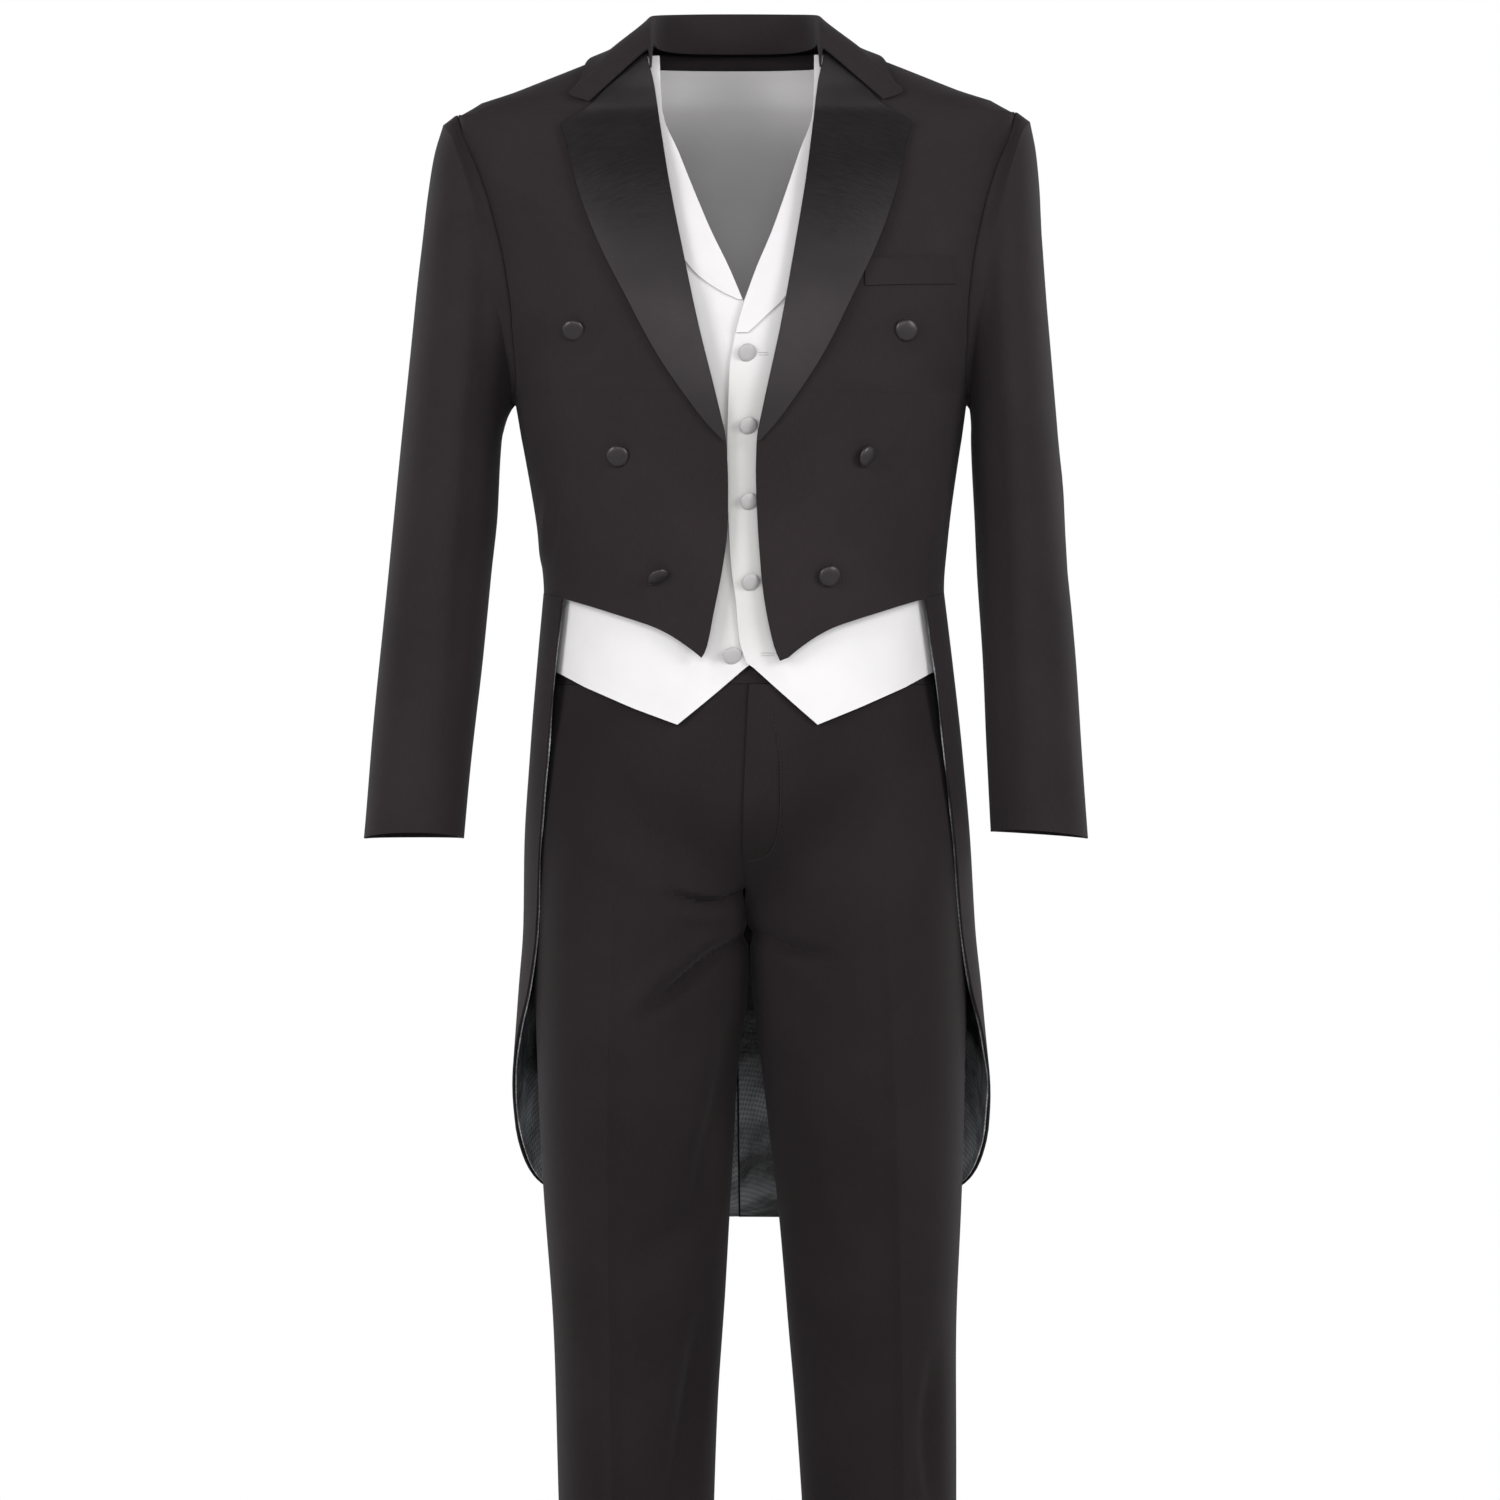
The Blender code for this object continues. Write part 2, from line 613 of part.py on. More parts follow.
def make_coat_fronts():
    columns = 12
    for end, side in (("left", 1), ("right", -1)):
        cells = []
        for height in body_heights():
            weight = smooth(CUTAWAY_START, WAIST_SEAM, height)
            edge_z = height - weight * CUTAWAY.at(0, "drop")
            sway = side * FRONT_SWAY * smooth(SWAY_TOP, SWAY_FULL, edge_z)
            first = turn_at(COAT_FORM, edge_z, FRONT_EDGE.at(edge_z, "reach") - sway)
            last = outer_turn(height, "front", ARMHOLE, ARMPIT, SHOULDER_TIP)
            row = []
            for turn in even_steps(first, last, columns):
                row.append((height - weight * CUTAWAY.at(turn, "drop"), turn, 0.0))
            cells.append(row)
        add_panel(f"coat_front_{end}", COAT_FORM, cells, WOOL_WALL, WOOL, side)


def make_coat_backs():
    columns = 9
    cells = []
    for z in body_heights():
        first = outer_turn(z, "back", ARMHOLE, ARMPIT, SHOULDER_TIP)
        cells.append([(z, turn, 0.0) for turn in even_steps(first, 180, columns)])
    both_sides("coat_back", COAT_FORM, cells, WOOL_WALL, WOOL)


def tail_flute(z, turn):
    """Soft lengthwise waves of the hanging tails, deeper towards the hem."""
    depth = FLUTE_DEPTH * smooth(*FLUTE_HEIGHTS, z)
    return depth * math.cos(math.radians(180 - turn) * FLUTE_TURNS)


def tail_cells(lap, tuck):
    """Cells of a tail from hem to waist: its vent edge laps past the centre, laid in by a tuck."""
    columns = 12
    cells = []
    for height in TAIL_ROWS:
        weight = smooth(VENT_FULL, WAIST_SEAM, height)
        last_turn = 180 + lap * smooth(VENT_TOP, VENT_FULL, height)
        tuck_here = tuck * smooth(WAIST_SEAM, VENT_TOP, height)
        row = []
        for turn in even_steps(TAIL_FORM.at(height, "edge_turn"), last_turn, columns):
            z = height - weight * CUTAWAY.at(turn, "drop")
            row.append((z, turn, tail_flute(z, turn) - tuck_here * smooth(*VENT_TURNS, turn)))
        cells.append(row)
    return cells


def make_tails():
    """Both tails with their linings, the left one's vent edge under the right one's."""
    under = WOOL_WALL + LINING_GAP
    for end, side in (("left", 1), ("right", -1)):
        cells = tail_cells(**VENT[end])
        add_panel(f"tail_{end}", TAIL_FORM, cells, WOOL_WALL, WOOL, side)
        cells = [[(z, turn, out - under) for z, turn, out in row] for row in cells]
        name = f"tail_lining_{end}"
        add_panel(name, TAIL_FORM, cells, LINING_WALL, LINING, side, gap=LINING_EDGE)


def armhole_ring():
    """The armhole seen from outside, from the shoulder by the back and armpit to the front."""
    heights = ring_heights()
    back = [(z, ARMHOLE.at(z, "back")) for z in heights[::-1]]
    front = [(z, ARMHOLE.at(z, "front")) for z in heights[1:-1]]
    places = back + front
    loop = np.array([on_form(COAT_FORM, z, turn) for z, turn in places])
    normals = np.array([form_normal(COAT_FORM, z, turn) for z, turn in places])
    tangents = np.roll(loop, -1, axis=0) - np.roll(loop, 1, axis=0)
    inwards = np.cross(normals, tangents)
    inwards /= np.linalg.norm(inwards, axis=1, keepdims=True)
    middle = loop.mean(axis=0)
    if np.sum(inwards * (middle - loop)) < 0:
        inwards = -inwards
    return loop + inwards * ARMHOLE_INSET + normals * ARMHOLE_LIFT


def sleeve_ring(ring, end):
    """One ring of a sleeve, from its outer point by the back and the inner point."""
    size = {name: SLEEVE.at(ring, name) for name in SLEEVE.column}
    outer_x = size["outer_x"] + SLEEVE_SHIFT[end].at(ring, "outer")
    inner_x = size["inner_x"] + SLEEVE_SHIFT[end].at(ring, "inner")
    cuff = smooth(*CUFF_RINGS, ring)
    row = []
    for i in range(RING_POINTS):
        angle = 2 * math.pi * i / RING_POINTS
        share = (1 + math.cos(angle)) / 2
        x = inner_x + (outer_x - inner_x) * share - size["bow"] * abs(math.sin(angle))
        z = size["inner_z"] + (size["outer_z"] - size["inner_z"]) * share
        z += cuff * CUFFS[end]["rise"] * max(0.0, -math.sin(angle))
        z += cuff * CUFFS[end]["slant"] * (1 - share)
        row.append((x, size["deep"] + size["half_depth"] * math.sin(angle), z))
    return row


def make_sleeves():
    for end in SLEEVE_SHIFT:
        grid = [armhole_ring()]
        for ring in SLEEVE_STATIONS:
            grid.append(sleeve_ring(ring, end))
        grid = np.array(grid)[::-1]
        if end == "right":
            grid = mirrored(grid)
        add_cloth(f"sleeve_{end}", grid, WOOL_WALL, WOOL, ring=True)


def lapel_out(across, along):
    """How far a lapel stands off the coat: soft at its outer edge, flat at both ends."""
    return LAPEL_CLEAR + LAPEL_LIFT * across * math.sin(math.pi * along)


def make_lapels():
    columns = 6
    cells = []
    for z in LAPEL_ROWS:
        along = (z - LAPEL_ROWS[0]) / (LAPEL_ROWS[-1] - LAPEL_ROWS[0])
        table = LAPEL_EDGE if z <= LAPEL_EDGE.key[-1] else LAPEL_TOP
        first = FRONT_EDGE.at(z, "reach") + LAPEL_SETBACK
        last = table.at(z, "reach")
        row = []
        for i in range(columns):
            across = i / (columns - 1)
            turn = turn_at(COAT_FORM, z, first + (last - first) * across)
            row.append((z, turn, lapel_out(across, along)))
        cells.append(row)
    both_sides("lapel", COAT_FORM, cells, SATIN_WALL, SATIN)


def collar_row(station):
    """One section of the collar: outer edge of the fall, over the roll, down the stand."""
    size = {name: COLLAR.at(station, name) for name in COLLAR.column}
    edge = raised(COAT_FORM, size["edge_z"], size["edge_turn"], COLLAR_REST)
    roll = np.array([size["roll_x"], size["roll_y"], size["roll_z"]])
    outward = edge - roll
    outward[2] = 0
    outward /= np.linalg.norm(outward)
    up = np.array([0.0, 0.0, 1.0])
    shoulder = roll + outward * ROLL_SHOULDER[0] - up * ROLL_SHOULDER[1]
    belly = (shoulder + edge) / 2 + outward * size["belly_out"] + up * size["belly_up"]
    skirt = (belly + edge) / 2 - outward * size["sag"]
    inside = roll + outward * ROLL_INSIDE[0] - up * ROLL_INSIDE[1]
    foot = roll + outward * ROLL_FOOT - up * size["stand"]
    return [foot, (inside + foot) / 2, inside, roll, shoulder, belly, skirt, edge]


def make_collar():
    count = 11
    half = [collar_row(7 * i / (count - 1)) for i in range(count)]
    left = np.array(half)
    right = left[-2::-1] * np.array([-1.0, 1.0, 1.0])
    rows = np.concatenate([left, right])
    add_cloth("collar", np.swapaxes(rows, 0, 1)[::-1], WOOL_WALL, WOOL)


def make_welt():
    """The breast pocket's welt, a strip on the wearer's left."""
    cells = []
    for share in (0.0, 0.5, 1.0):
        row = []
        for reach in even_steps(WELT.key[0], WELT.key[-1], 6):
            low, high = WELT.at(reach, "low"), WELT.at(reach, "high")
            z = low + (high - low) * share
            row.append((z, turn_at(COAT_FORM, z, reach), WELT_WALL + SEAM_GAP))
        cells.append(row)
    add_panel("breast_welt", COAT_FORM, cells, WELT_WALL, WOOL)


def add_button(name, panel, reach, z, size, look):
    """A covered button, a domed disc on a short shank, set on a panel seen from the front."""
    radius, height, shank = size["radius"], size["height"], size["shank"]
    tree = BVHTree.FromObject(panel, bpy.context.evaluated_depsgraph_get())
    start = Vector((reach - HANG_LEAN * z, -1.0, z))
    place, normal, _, _ = tree.ray_cast(start, Vector((0.0, 1.0, 0.0)))
    profile = [(BUTTON_SHANK_SHARE * radius, 0.0), (BUTTON_SHANK_SHARE * radius, shank)]
    profile += [(share * radius, shank + rise * height) for share, rise in BUTTON_PROFILE]
    shape = bmesh.new()
    rings = []
    for out, rise in profile:
        ring = []
        for i in range(BUTTON_SIDES):
            angle = 2 * math.pi * i / BUTTON_SIDES
            ring.append(shape.verts.new((out * math.cos(angle), out * math.sin(angle), rise)))
        rings.append(ring)
    for low, high in zip(rings, rings[1:]):
        for i in range(BUTTON_SIDES):
            j = (i + 1) % BUTTON_SIDES
            shape.faces.new((low[i], low[j], high[j], high[i]))
    shape.faces.new(rings[0][::-1])
    crown = shape.verts.new((0, 0, shank + height))
    for i in range(BUTTON_SIDES):
        shape.faces.new((rings[-1][i], rings[-1][(i + 1) % BUTTON_SIDES], crown))
    mesh = bpy.data.meshes.new(name)
    shape.to_mesh(mesh)
    shape.free()
    mesh.materials.append(material_named(*look))
    mesh.shade_smooth()
    mesh.set_sharp_from_angle(angle=math.radians(50))
    button = bpy.data.objects.new(name, mesh)
    bpy.context.collection.objects.link(button)
    facing = (normal - Vector((0.0, 0.0, size["droop"]))).normalized()
    button.location = place + normal * SEAM_GAP
    button.rotation_euler = facing.to_track_quat("Z", "Y").to_euler()


def make_coat_buttons():
    """Three covered buttons down each front, the rows closing towards the waist."""
    for row, reach, z in COAT_BUTTON_ROWS:
        for end, side in (("left", 1), ("right", -1)):
            panel = bpy.data.objects[f"coat_front_{end}"]
            add_button(f"coat_button_{row}_{end}", panel, side * reach, z, COAT_BUTTON, SATIN)


def waistcoat_front(lap, tuck):
    """Cells of a waistcoat front, its edge lapped over the centre line and tucked in."""
    columns = 12
    low = WAISTCOAT_ARMHOLE.key[0]
    top = WAISTCOAT_ARMHOLE.key[-1]
    cells = []
    for height in WAISTCOAT_ROWS:
        weight = smooth(HEM_START, HEM_TOP, height)
        last = outer_turn(height, "front", WAISTCOAT_ARMHOLE, low, top)
        if height > WAISTCOAT_V.key[0]:
            first_reach = WAISTCOAT_V.at(height, "reach")
        else:
            first_reach = OVERLAP_EDGE.at(height, "reach") * lap
        first = turn_at(WAISTCOAT_FORM, height, first_reach)
        tip = max(turn_at(WAISTCOAT_FORM, height, HEM_TIP), first + (last - first) * TIP_SHARE)
        turns = even_steps(first, tip, 4) + even_steps(tip, last, columns - 3)[1:]
        row = []
        for turn in turns:
            reach = on_form(WAISTCOAT_FORM, height, turn)[0]
            z = height + weight * (WAISTCOAT_HEM.straight(reach, "z") - HEM_TOP)
            row.append((z, turn, -tuck_at(tuck, reach, height)))
        cells.append(row)
    return cells


def tuck_at(tuck, reach, z):
    """How far the under front lies in below the other where the two lap."""
    return tuck * (1 - smooth(*TUCK_REACH, reach)) * smooth(*TUCK_HEIGHTS, z)


def centred(grid):
    """Shifts a waistcoat edge grid so that its closing line lies on the buttons' line."""
    grid = grid.copy()
    nearness = np.clip(1 - np.abs(grid[..., 0]) / CENTRE_REACH, 0, 1)
    grid[..., 0] += WAISTCOAT_CENTRE * nearness
    return grid


def make_waistcoat():
    for end, side in (("left", 1), ("right", -1)):
        cells = waistcoat_front(**LAPS[end])
        name = f"waistcoat_front_{end}"
        add_panel(name, WAISTCOAT_FORM, cells, WOOL_WALL, WHITE_CLOTH, side, shift=centred)
    columns = 13
    low = WAISTCOAT_ARMHOLE.key[0]
    tip = WAISTCOAT_ARMHOLE.key[-1]
    cells = []
    for height in WAISTCOAT_ROWS:
        z = height + smooth(HEM_START, HEM_TOP, height) * (WAISTCOAT_BACK_HEM - HEM_TOP)
        first = outer_turn(height, "back", WAISTCOAT_ARMHOLE, low, tip)
        cells.append([(z, turn, 0.0) for turn in even_steps(first, 360 - first, columns)])
    add_panel("waistcoat_back", WAISTCOAT_FORM, cells, WOOL_WALL, WHITE_CLOTH)


def revers_cells(heights, edge, tuck):
    """Cells of a waistcoat revers on its front, from the V edge to an outer edge."""
    cells = []
    for z in heights:
        table = WAISTCOAT_V if z > WAISTCOAT_V.key[0] else OVERLAP_EDGE
        first = table.at(z, "reach") + REVERS_SETBACK
        row = []
        for i in range(4):
            reach = first + (edge.at(z, "reach") - first) * i / 3
            out = LINING_WALL + REVERS_CLEAR - tuck_at(tuck, reach, z)
            row.append((z, turn_at(WAISTCOAT_FORM, z, reach), out))
        cells.append(row)
    return cells


def make_revers():
    for end, side in (("left", 1), ("right", -1)):
        edge = Table("z reach", REVERS_LOW_EDGE[end] + REVERS_EDGE)
        cells = revers_cells(REVERS_LOW_ROWS[end] + REVERS_ROWS, edge, LAPS[end]["tuck"])
        name = f"revers_{end}"
        add_panel(name, WAISTCOAT_FORM, cells, LINING_WALL, WHITE_SATIN, side, shift=centred)


def make_waistcoat_buttons():
    """Four buttons down the closing line and one left undone on the under front."""
    for number, (end, reach, z) in enumerate(WAISTCOAT_BUTTON_PLACES, start=1):
        panel = bpy.data.objects[f"waistcoat_front_{end}"]
        name = f"waistcoat_button_{number}"
        add_button(name, panel, reach, z, WAISTCOAT_BUTTON, WHITE_SATIN)


def leg_point(z, turn):
    """A point of a trouser leg's section: 0 is the front crease, 90 the outer side."""
    angle = math.radians(turn)
    side, ahead = math.sin(angle), math.cos(angle)
    depth = LEG_FORM.at(z, "front" if ahead > 0 else "back")
    crown = (1 - CREASE_SHARPNESS) * abs(ahead) + CREASE_SHARPNESS * (1 - abs(side))
    shift = (LEG_FORM.at(z, "crease") - LEG_FORM.at(z, "middle")) * ahead * ahead
    x = LEG_FORM.at(z, "middle") + LEG_FORM.at(z, "half") * side + shift
    y = LEG_FORM.at(z, "deep") - math.copysign(depth * crown, ahead)
    return np.array([x, y, z])


def make_trousers():
    columns = 13
    for name, ahead in (("front", 1), ("back", -1)):
        grid = []
        for z in TROUSER_ROWS:
            row = []
            for i in range(-1, columns + 1):
                share = i / (columns - 1)
                seam = smooth(*SEAM_SHARES, share)
                blend_top = HIP_BLEND_TOP + (CROTCH_BLEND_TOP - HIP_BLEND_TOP) * seam
                blend_low = HIP_BLEND_LOW + (CROTCH_BLEND_LOW - HIP_BLEND_LOW) * seam
                weight = smooth(blend_top, blend_low, z)
                hip_turn = 90 - 90 * share if ahead > 0 else 90 + 90 * share
                leg_turn = 90 - 180 * share if ahead > 0 else 90 + 180 * share
                hip = on_form(HIP_FORM, z, hip_turn)
                row.append(hip * (1 - weight) + leg_point(z, leg_turn) * weight)
            grid.append(row[::-1] if ahead > 0 else row)
        grid = np.array(grid)
        add_cloth(f"trousers_{name}_left", grid, WOOL_WALL, TROUSER_WOOL, spare=True)
        add_cloth(f"trousers_{name}_right", mirrored(grid), WOOL_WALL, TROUSER_WOOL, spare=True)


def make_waistband():
    """The waistband, a strip round the waist whose ends meet over the fly."""
    start = turn_at(HIP_FORM, WAISTBAND_ROWS[1], WAISTBAND_ENDS)
    cells = []
    for z in WAISTBAND_ROWS:
        cells.append([(z, turn, 0.0) for turn in even_steps(start, start + 360, 29)])
    add_panel("waistband", HIP_FORM, cells, WAISTBAND_WALL, TROUSER_WOOL)


def main():
    for item in list(bpy.data.objects):
        bpy.data.objects.remove(item, do_unlink=True)
    make_coat_fronts()
    make_coat_backs()
    make_sleeves()
    make_tails()
    make_lapels()
    make_collar()
    make_welt()
    make_coat_buttons()
    make_waistcoat()
    make_revers()
    make_waistcoat_buttons()
    make_trousers()
    make_waistband()


main()
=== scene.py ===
"""A tailcoat suit, dressed as worn: tailcoat, waistcoat and trousers in a pale studio.

Units are metres, +Z is up, the front faces -Y and +X is the wearer's left. Each piece lies on the
same form as its solid, with a finer grid, its folds and its seams.
"""

import math

import bmesh
import bpy
import numpy as np
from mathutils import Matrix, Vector


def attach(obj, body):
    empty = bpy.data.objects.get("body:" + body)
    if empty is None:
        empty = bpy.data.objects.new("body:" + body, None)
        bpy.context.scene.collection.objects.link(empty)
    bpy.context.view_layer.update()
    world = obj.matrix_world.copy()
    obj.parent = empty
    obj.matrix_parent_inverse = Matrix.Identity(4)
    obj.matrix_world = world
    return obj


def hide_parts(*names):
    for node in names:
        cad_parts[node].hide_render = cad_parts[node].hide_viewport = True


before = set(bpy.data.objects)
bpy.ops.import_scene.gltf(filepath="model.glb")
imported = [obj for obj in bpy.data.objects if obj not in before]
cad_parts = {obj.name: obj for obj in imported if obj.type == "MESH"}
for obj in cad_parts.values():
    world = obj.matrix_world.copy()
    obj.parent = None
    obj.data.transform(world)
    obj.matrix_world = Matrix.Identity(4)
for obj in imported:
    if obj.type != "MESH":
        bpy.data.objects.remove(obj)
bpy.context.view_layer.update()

# Cloth walls and the way the suit hangs, as on the solids
WOOL_WALL = 0.0016
SATIN_WALL = 0.0012
LINING_WALL = 0.0010
LINING_GAP = 0.0010
LINING_EDGE = 0.003  # the linings stop this far short of the wool's edges
SEAM_GAP = 0.0003
SHOWN_GAP = 0.0001  # between sewn pieces here
HANG_LEAN = 0.0156  # sideways shift of the body for each metre down
SHOULDER_TILT = 0.0013  # the wearer's left shoulder is this much up, the right one down
TILT_REACH = (0.02, 0.19)
TILT_HEIGHTS = (-0.30, -0.12)
SQUARENESS = 2.3  # exponent of the body's rounded sections
SIDE_TURN = 98.0  # side seams, in degrees round from the front centre
WAIST_SEAM = -0.4416
SHOULDER_TIP = -0.0465
ARMPIT = -0.2850
RING_POINTS = 72
SLEEVE_ROLL = [(0.0026, -0.0014), (0.0018, 0.0004), (0.0006, 0.0013)]  # over the coat, and out
SLEEVE_HEAD_SHARES = (0.25, 0.5, 0.75)  # rows from that roll to the sleeve's first ring
SLEEVE_FADE_ROWS = 16.0  # the coat's relief goes over into the sleeve's within these rows
SHARP_ANGLE = 50.0  # edges sharper than this many degrees aren't smoothed
PRESSED_ANGLE = 20.0  # nor are these on the pressed trousers
SIDES = (("left", 1), ("right", -1))

# How fine the grids are: columns across a piece, and rows for each given one (the welt's in all)
COLUMNS = {"coat_front": 45, "coat_back": 33, "tail": 49, "lapel": 25, "collar": 41, "welt": 31,
           "waistcoat_tip": 16, "waistcoat_side": 33, "waistcoat_back": 61, "revers": 17,
           "waistband": 121}
ROWS = {"body_low": 8, "body_top": 4, "tail": 5, "sleeve": 5, "lapel": 6, "collar": 5, "welt": 9,
        "waistcoat_front": 5, "waistcoat_back": 4, "revers": 5, "trousers": 7, "waistband": 4}
TROUSER_SHARES = [(0.0, 0.5, 27), (0.5, 0.86, 20), (0.86, 1.0, 25)]  # from, to, columns


class Table:
    """Rows of sizes under named columns, read smoothly between rows by the first column."""

    def __init__(self, columns, rows):
        names = columns.split()
        rows = sorted(rows)
        self.key = np.array([row[0] for row in rows])
        self.column = {}
        for index, name in enumerate(names[1:], start=1):
            self.column[name] = np.array([row[index] for row in rows])
        self.slope = {name: self._slopes(values) for name, values in self.column.items()}

    def _slopes(self, values):
        """Slopes that keep the curve from overshooting its rows."""
        steps = np.diff(self.key)
        rises = np.diff(values) / steps
        slopes = np.zeros(len(values))
        slopes[0] = rises[0]
        slopes[-1] = rises[-1]
        for i in range(1, len(values) - 1):
            if rises[i - 1] * rises[i] > 0:
                before = 2 * steps[i] + steps[i - 1]
                after = steps[i] + 2 * steps[i - 1]
                slopes[i] = (before + after) / (before / rises[i - 1] + after / rises[i])
        return slopes

    def at(self, key, name):
        key = min(max(key, self.key[0]), self.key[-1])
        i = min(int(np.searchsorted(self.key, key, side="right")) - 1, len(self.key) - 2)
        step = self.key[i + 1] - self.key[i]
        t = (key - self.key[i]) / step
        low, high = self.column[name][i], self.column[name][i + 1]
        m0, m1 = self.slope[name][i] * step, self.slope[name][i + 1] * step
        rise = 3 * t * t - 2 * t * t * t
        value = low + (high - low) * rise
        return float(value + m0 * (t - 2 * t * t + t ** 3) + m1 * (t ** 3 - t * t))

    def straight(self, key, name):
        """The value read along straight lines, with a corner at each row."""
        return float(np.interp(key, self.key, self.column[name]))


# Buttons: their sizes, their places from the centre line and their heights
COAT_BUTTON = {"radius": 0.0094, "height": 0.0046, "shank": 0.0012}
COAT_BUTTON_ROWS = [
    ("top", 0.1345, -0.232),
    ("middle", 0.1, -0.3345),
    ("low", 0.069, -0.4315),
]
WAISTCOAT_BUTTON = {"radius": 0.0076, "height": 0.0034, "shank": 0.0008}
WAISTCOAT_BUTTON_PLACES = [
    ("left", 0.0055, -0.2518),
    ("left", 0.0055, -0.3105),
    ("left", 0.0055, -0.3713),
    ("left", 0.0055, -0.4366),
    ("right", -0.0103, -0.496),
]
# The shown button's outline: share of the radius, shanks and heights up
BUTTON_PROFILE = [
    (0.3, 0.0, 0.0), (0.3, 1.0, 0.0), (0.7, 0.95, 0.0), (0.92, 1.0, 0.06), (1.0, 1.0, 0.26),
    (0.985, 1.0, 0.44), (0.9, 1.0, 0.66), (0.74, 1.0, 0.84), (0.5, 1.0, 0.95), (0.25, 1.0, 0.99),
]
BUTTON_SIDES = 48

# Body sections by height: half width, and depth to the front and to the back
COAT_FORM = Table("z half front back", [
    (0.0125, 0.078, 0.0575, 0.066), (0.004, 0.104, 0.058, 0.067), (-0.006, 0.13, 0.0585, 0.069),
    (-0.026, 0.181, 0.06, 0.072), (-0.0465, 0.2332, 0.064, 0.077), (-0.065, 0.2355, 0.073, 0.085),
    (-0.11, 0.233, 0.097, 0.105), (-0.17, 0.2215, 0.117, 0.117), (-0.23, 0.206, 0.129, 0.119),
    (-0.285, 0.189, 0.133, 0.115), (-0.34, 0.1785, 0.13, 0.105), (-0.4, 0.1695, 0.124, 0.097),
    (WAIST_SEAM, 0.1656, 0.121, 0.095), (-0.505, 0.17, 0.119, 0.104),
])
TAIL_FORM = Table("z half front back edge_turn", [
    (WAIST_SEAM, 0.166, 0.121, 0.095, 61.8), (-0.513, 0.1735, 0.119, 0.109, 63.5),
    (-0.576, 0.1795, 0.119, 0.122, 64.2), (-0.646, 0.185, 0.12, 0.134, 66.2),
    (-0.72, 0.1878, 0.121, 0.142, 68.9), (-0.768, 0.192, 0.121, 0.146, 73.5),
    (-0.813, 0.1955, 0.121, 0.149, 86.0), (-0.853, 0.1988, 0.121, 0.151, 97.0),
    (-0.876, 0.2007, 0.121, 0.152, 102.8), (-0.901, 0.2027, 0.121, 0.153, 108.3),
    (-0.932, 0.2035, 0.121, 0.154, 117.2), (-0.95, 0.2035, 0.121, 0.154, 128.0),
    (-0.964, 0.2035, 0.121, 0.154, 143.5), (-0.9735, 0.2035, 0.121, 0.154, 164.0),
])
TAIL_ROWS = [
    -0.9735, -0.964, -0.95, -0.932, -0.901, -0.853, -0.813, -0.768,
    -0.72, -0.65, -0.58, -0.51, -0.48, -0.456, WAIST_SEAM,
]
# The vent: how far each tail laps past the back centre, and how far it is laid in there
VENT = {"left": {"lap": 2.4, "tuck": 0.0045}, "right": {"lap": 3.4, "tuck": 0.0}}
VENT_TOP = -0.456
VENT_FULL = -0.51
VENT_TURNS = (150.0, 170.0)  # the tuck comes in between these turns
FLUTE_DEPTH = 0.0035
FLUTE_TURNS = 5.0
FLUTE_HEIGHTS = (-0.55, -0.9)
WAISTCOAT_FORM = Table("z half front back", [
    (0.004, 0.095, 0.05, 0.06), (-0.014, 0.142, 0.053, 0.064), (-0.03, 0.1825, 0.053, 0.065),
    (-0.045, 0.212, 0.0565, 0.069), (-0.085, 0.215, 0.075, 0.085), (-0.14, 0.206, 0.099, 0.103),
    (-0.2, 0.197, 0.115, 0.11), (-0.285, 0.181, 0.124, 0.107), (-0.34, 0.171, 0.1215, 0.097),
    (-0.4, 0.1625, 0.1155, 0.089), (WAIST_SEAM, 0.1588, 0.1125, 0.087),
    (-0.5, 0.1635, 0.111, 0.093), (-0.556, 0.168, 0.113, 0.1),
])
HIP_FORM = Table("z half front back", [
    (-0.48, 0.154, 0.1, 0.082), (-0.519, 0.1605, 0.1062, 0.088), (-0.56, 0.167, 0.109, 0.099),
    (-0.6, 0.1715, 0.111, 0.108), (-0.66, 0.1765, 0.1115, 0.115), (-0.72, 0.179, 0.111, 0.116),
    (-0.77, 0.179, 0.11, 0.114),
])
# Legs by height: middle from the centre line, half width, crease line, depths, middle in depth
LEG_FORM = Table("z middle half crease front back deep", [
    (-0.6, 0.088, 0.086, 0.104, 0.109, 0.104, 0.0),
    (-0.735, 0.0894, 0.0892, 0.112, 0.109, 0.11, 0.0),
    (-0.85, 0.0938, 0.083, 0.117, 0.104, 0.108, 0.002),
    (-0.962, 0.0965, 0.0757, 0.1185, 0.098, 0.1, 0.004),
    (-1.04, 0.0973, 0.0708, 0.119, 0.094, 0.095, 0.006),
    (-1.115, 0.0991, 0.0671, 0.1195, 0.091, 0.092, 0.009),
    (-1.195, 0.1006, 0.0646, 0.119, 0.089, 0.091, 0.013),
    (-1.33, 0.103, 0.0613, 0.119, 0.087, 0.089, 0.018),
    (-1.53, 0.1056, 0.0581, 0.118, 0.085, 0.088, 0.024),
])
CREASE_SHARPNESS = 0.22
WAISTBAND_WALL = 0.0022
WAISTBAND_ROWS = [-0.5192, -0.5, -0.48]
WAISTBAND_ENDS = 0.003  # where its ends meet, off the centre line
TROUSER_ROWS = [
    -1.53, -1.37, -1.22, -1.09, -0.98, -0.89, -0.83, -0.785, -0.755,
    -0.735, -0.715, -0.695, -0.675, -0.65, -0.61, -0.565, -0.5195,
]
# Where the hips' section turns into the legs': at the sides, and at the centre seams
HIP_BLEND_TOP = -0.54
HIP_BLEND_LOW = -0.72
CROTCH_BLEND_TOP = -0.605
CROTCH_BLEND_LOW = -0.748
SEAM_SHARES = (0.45, 1.0)  # shares of a panel's width between those two

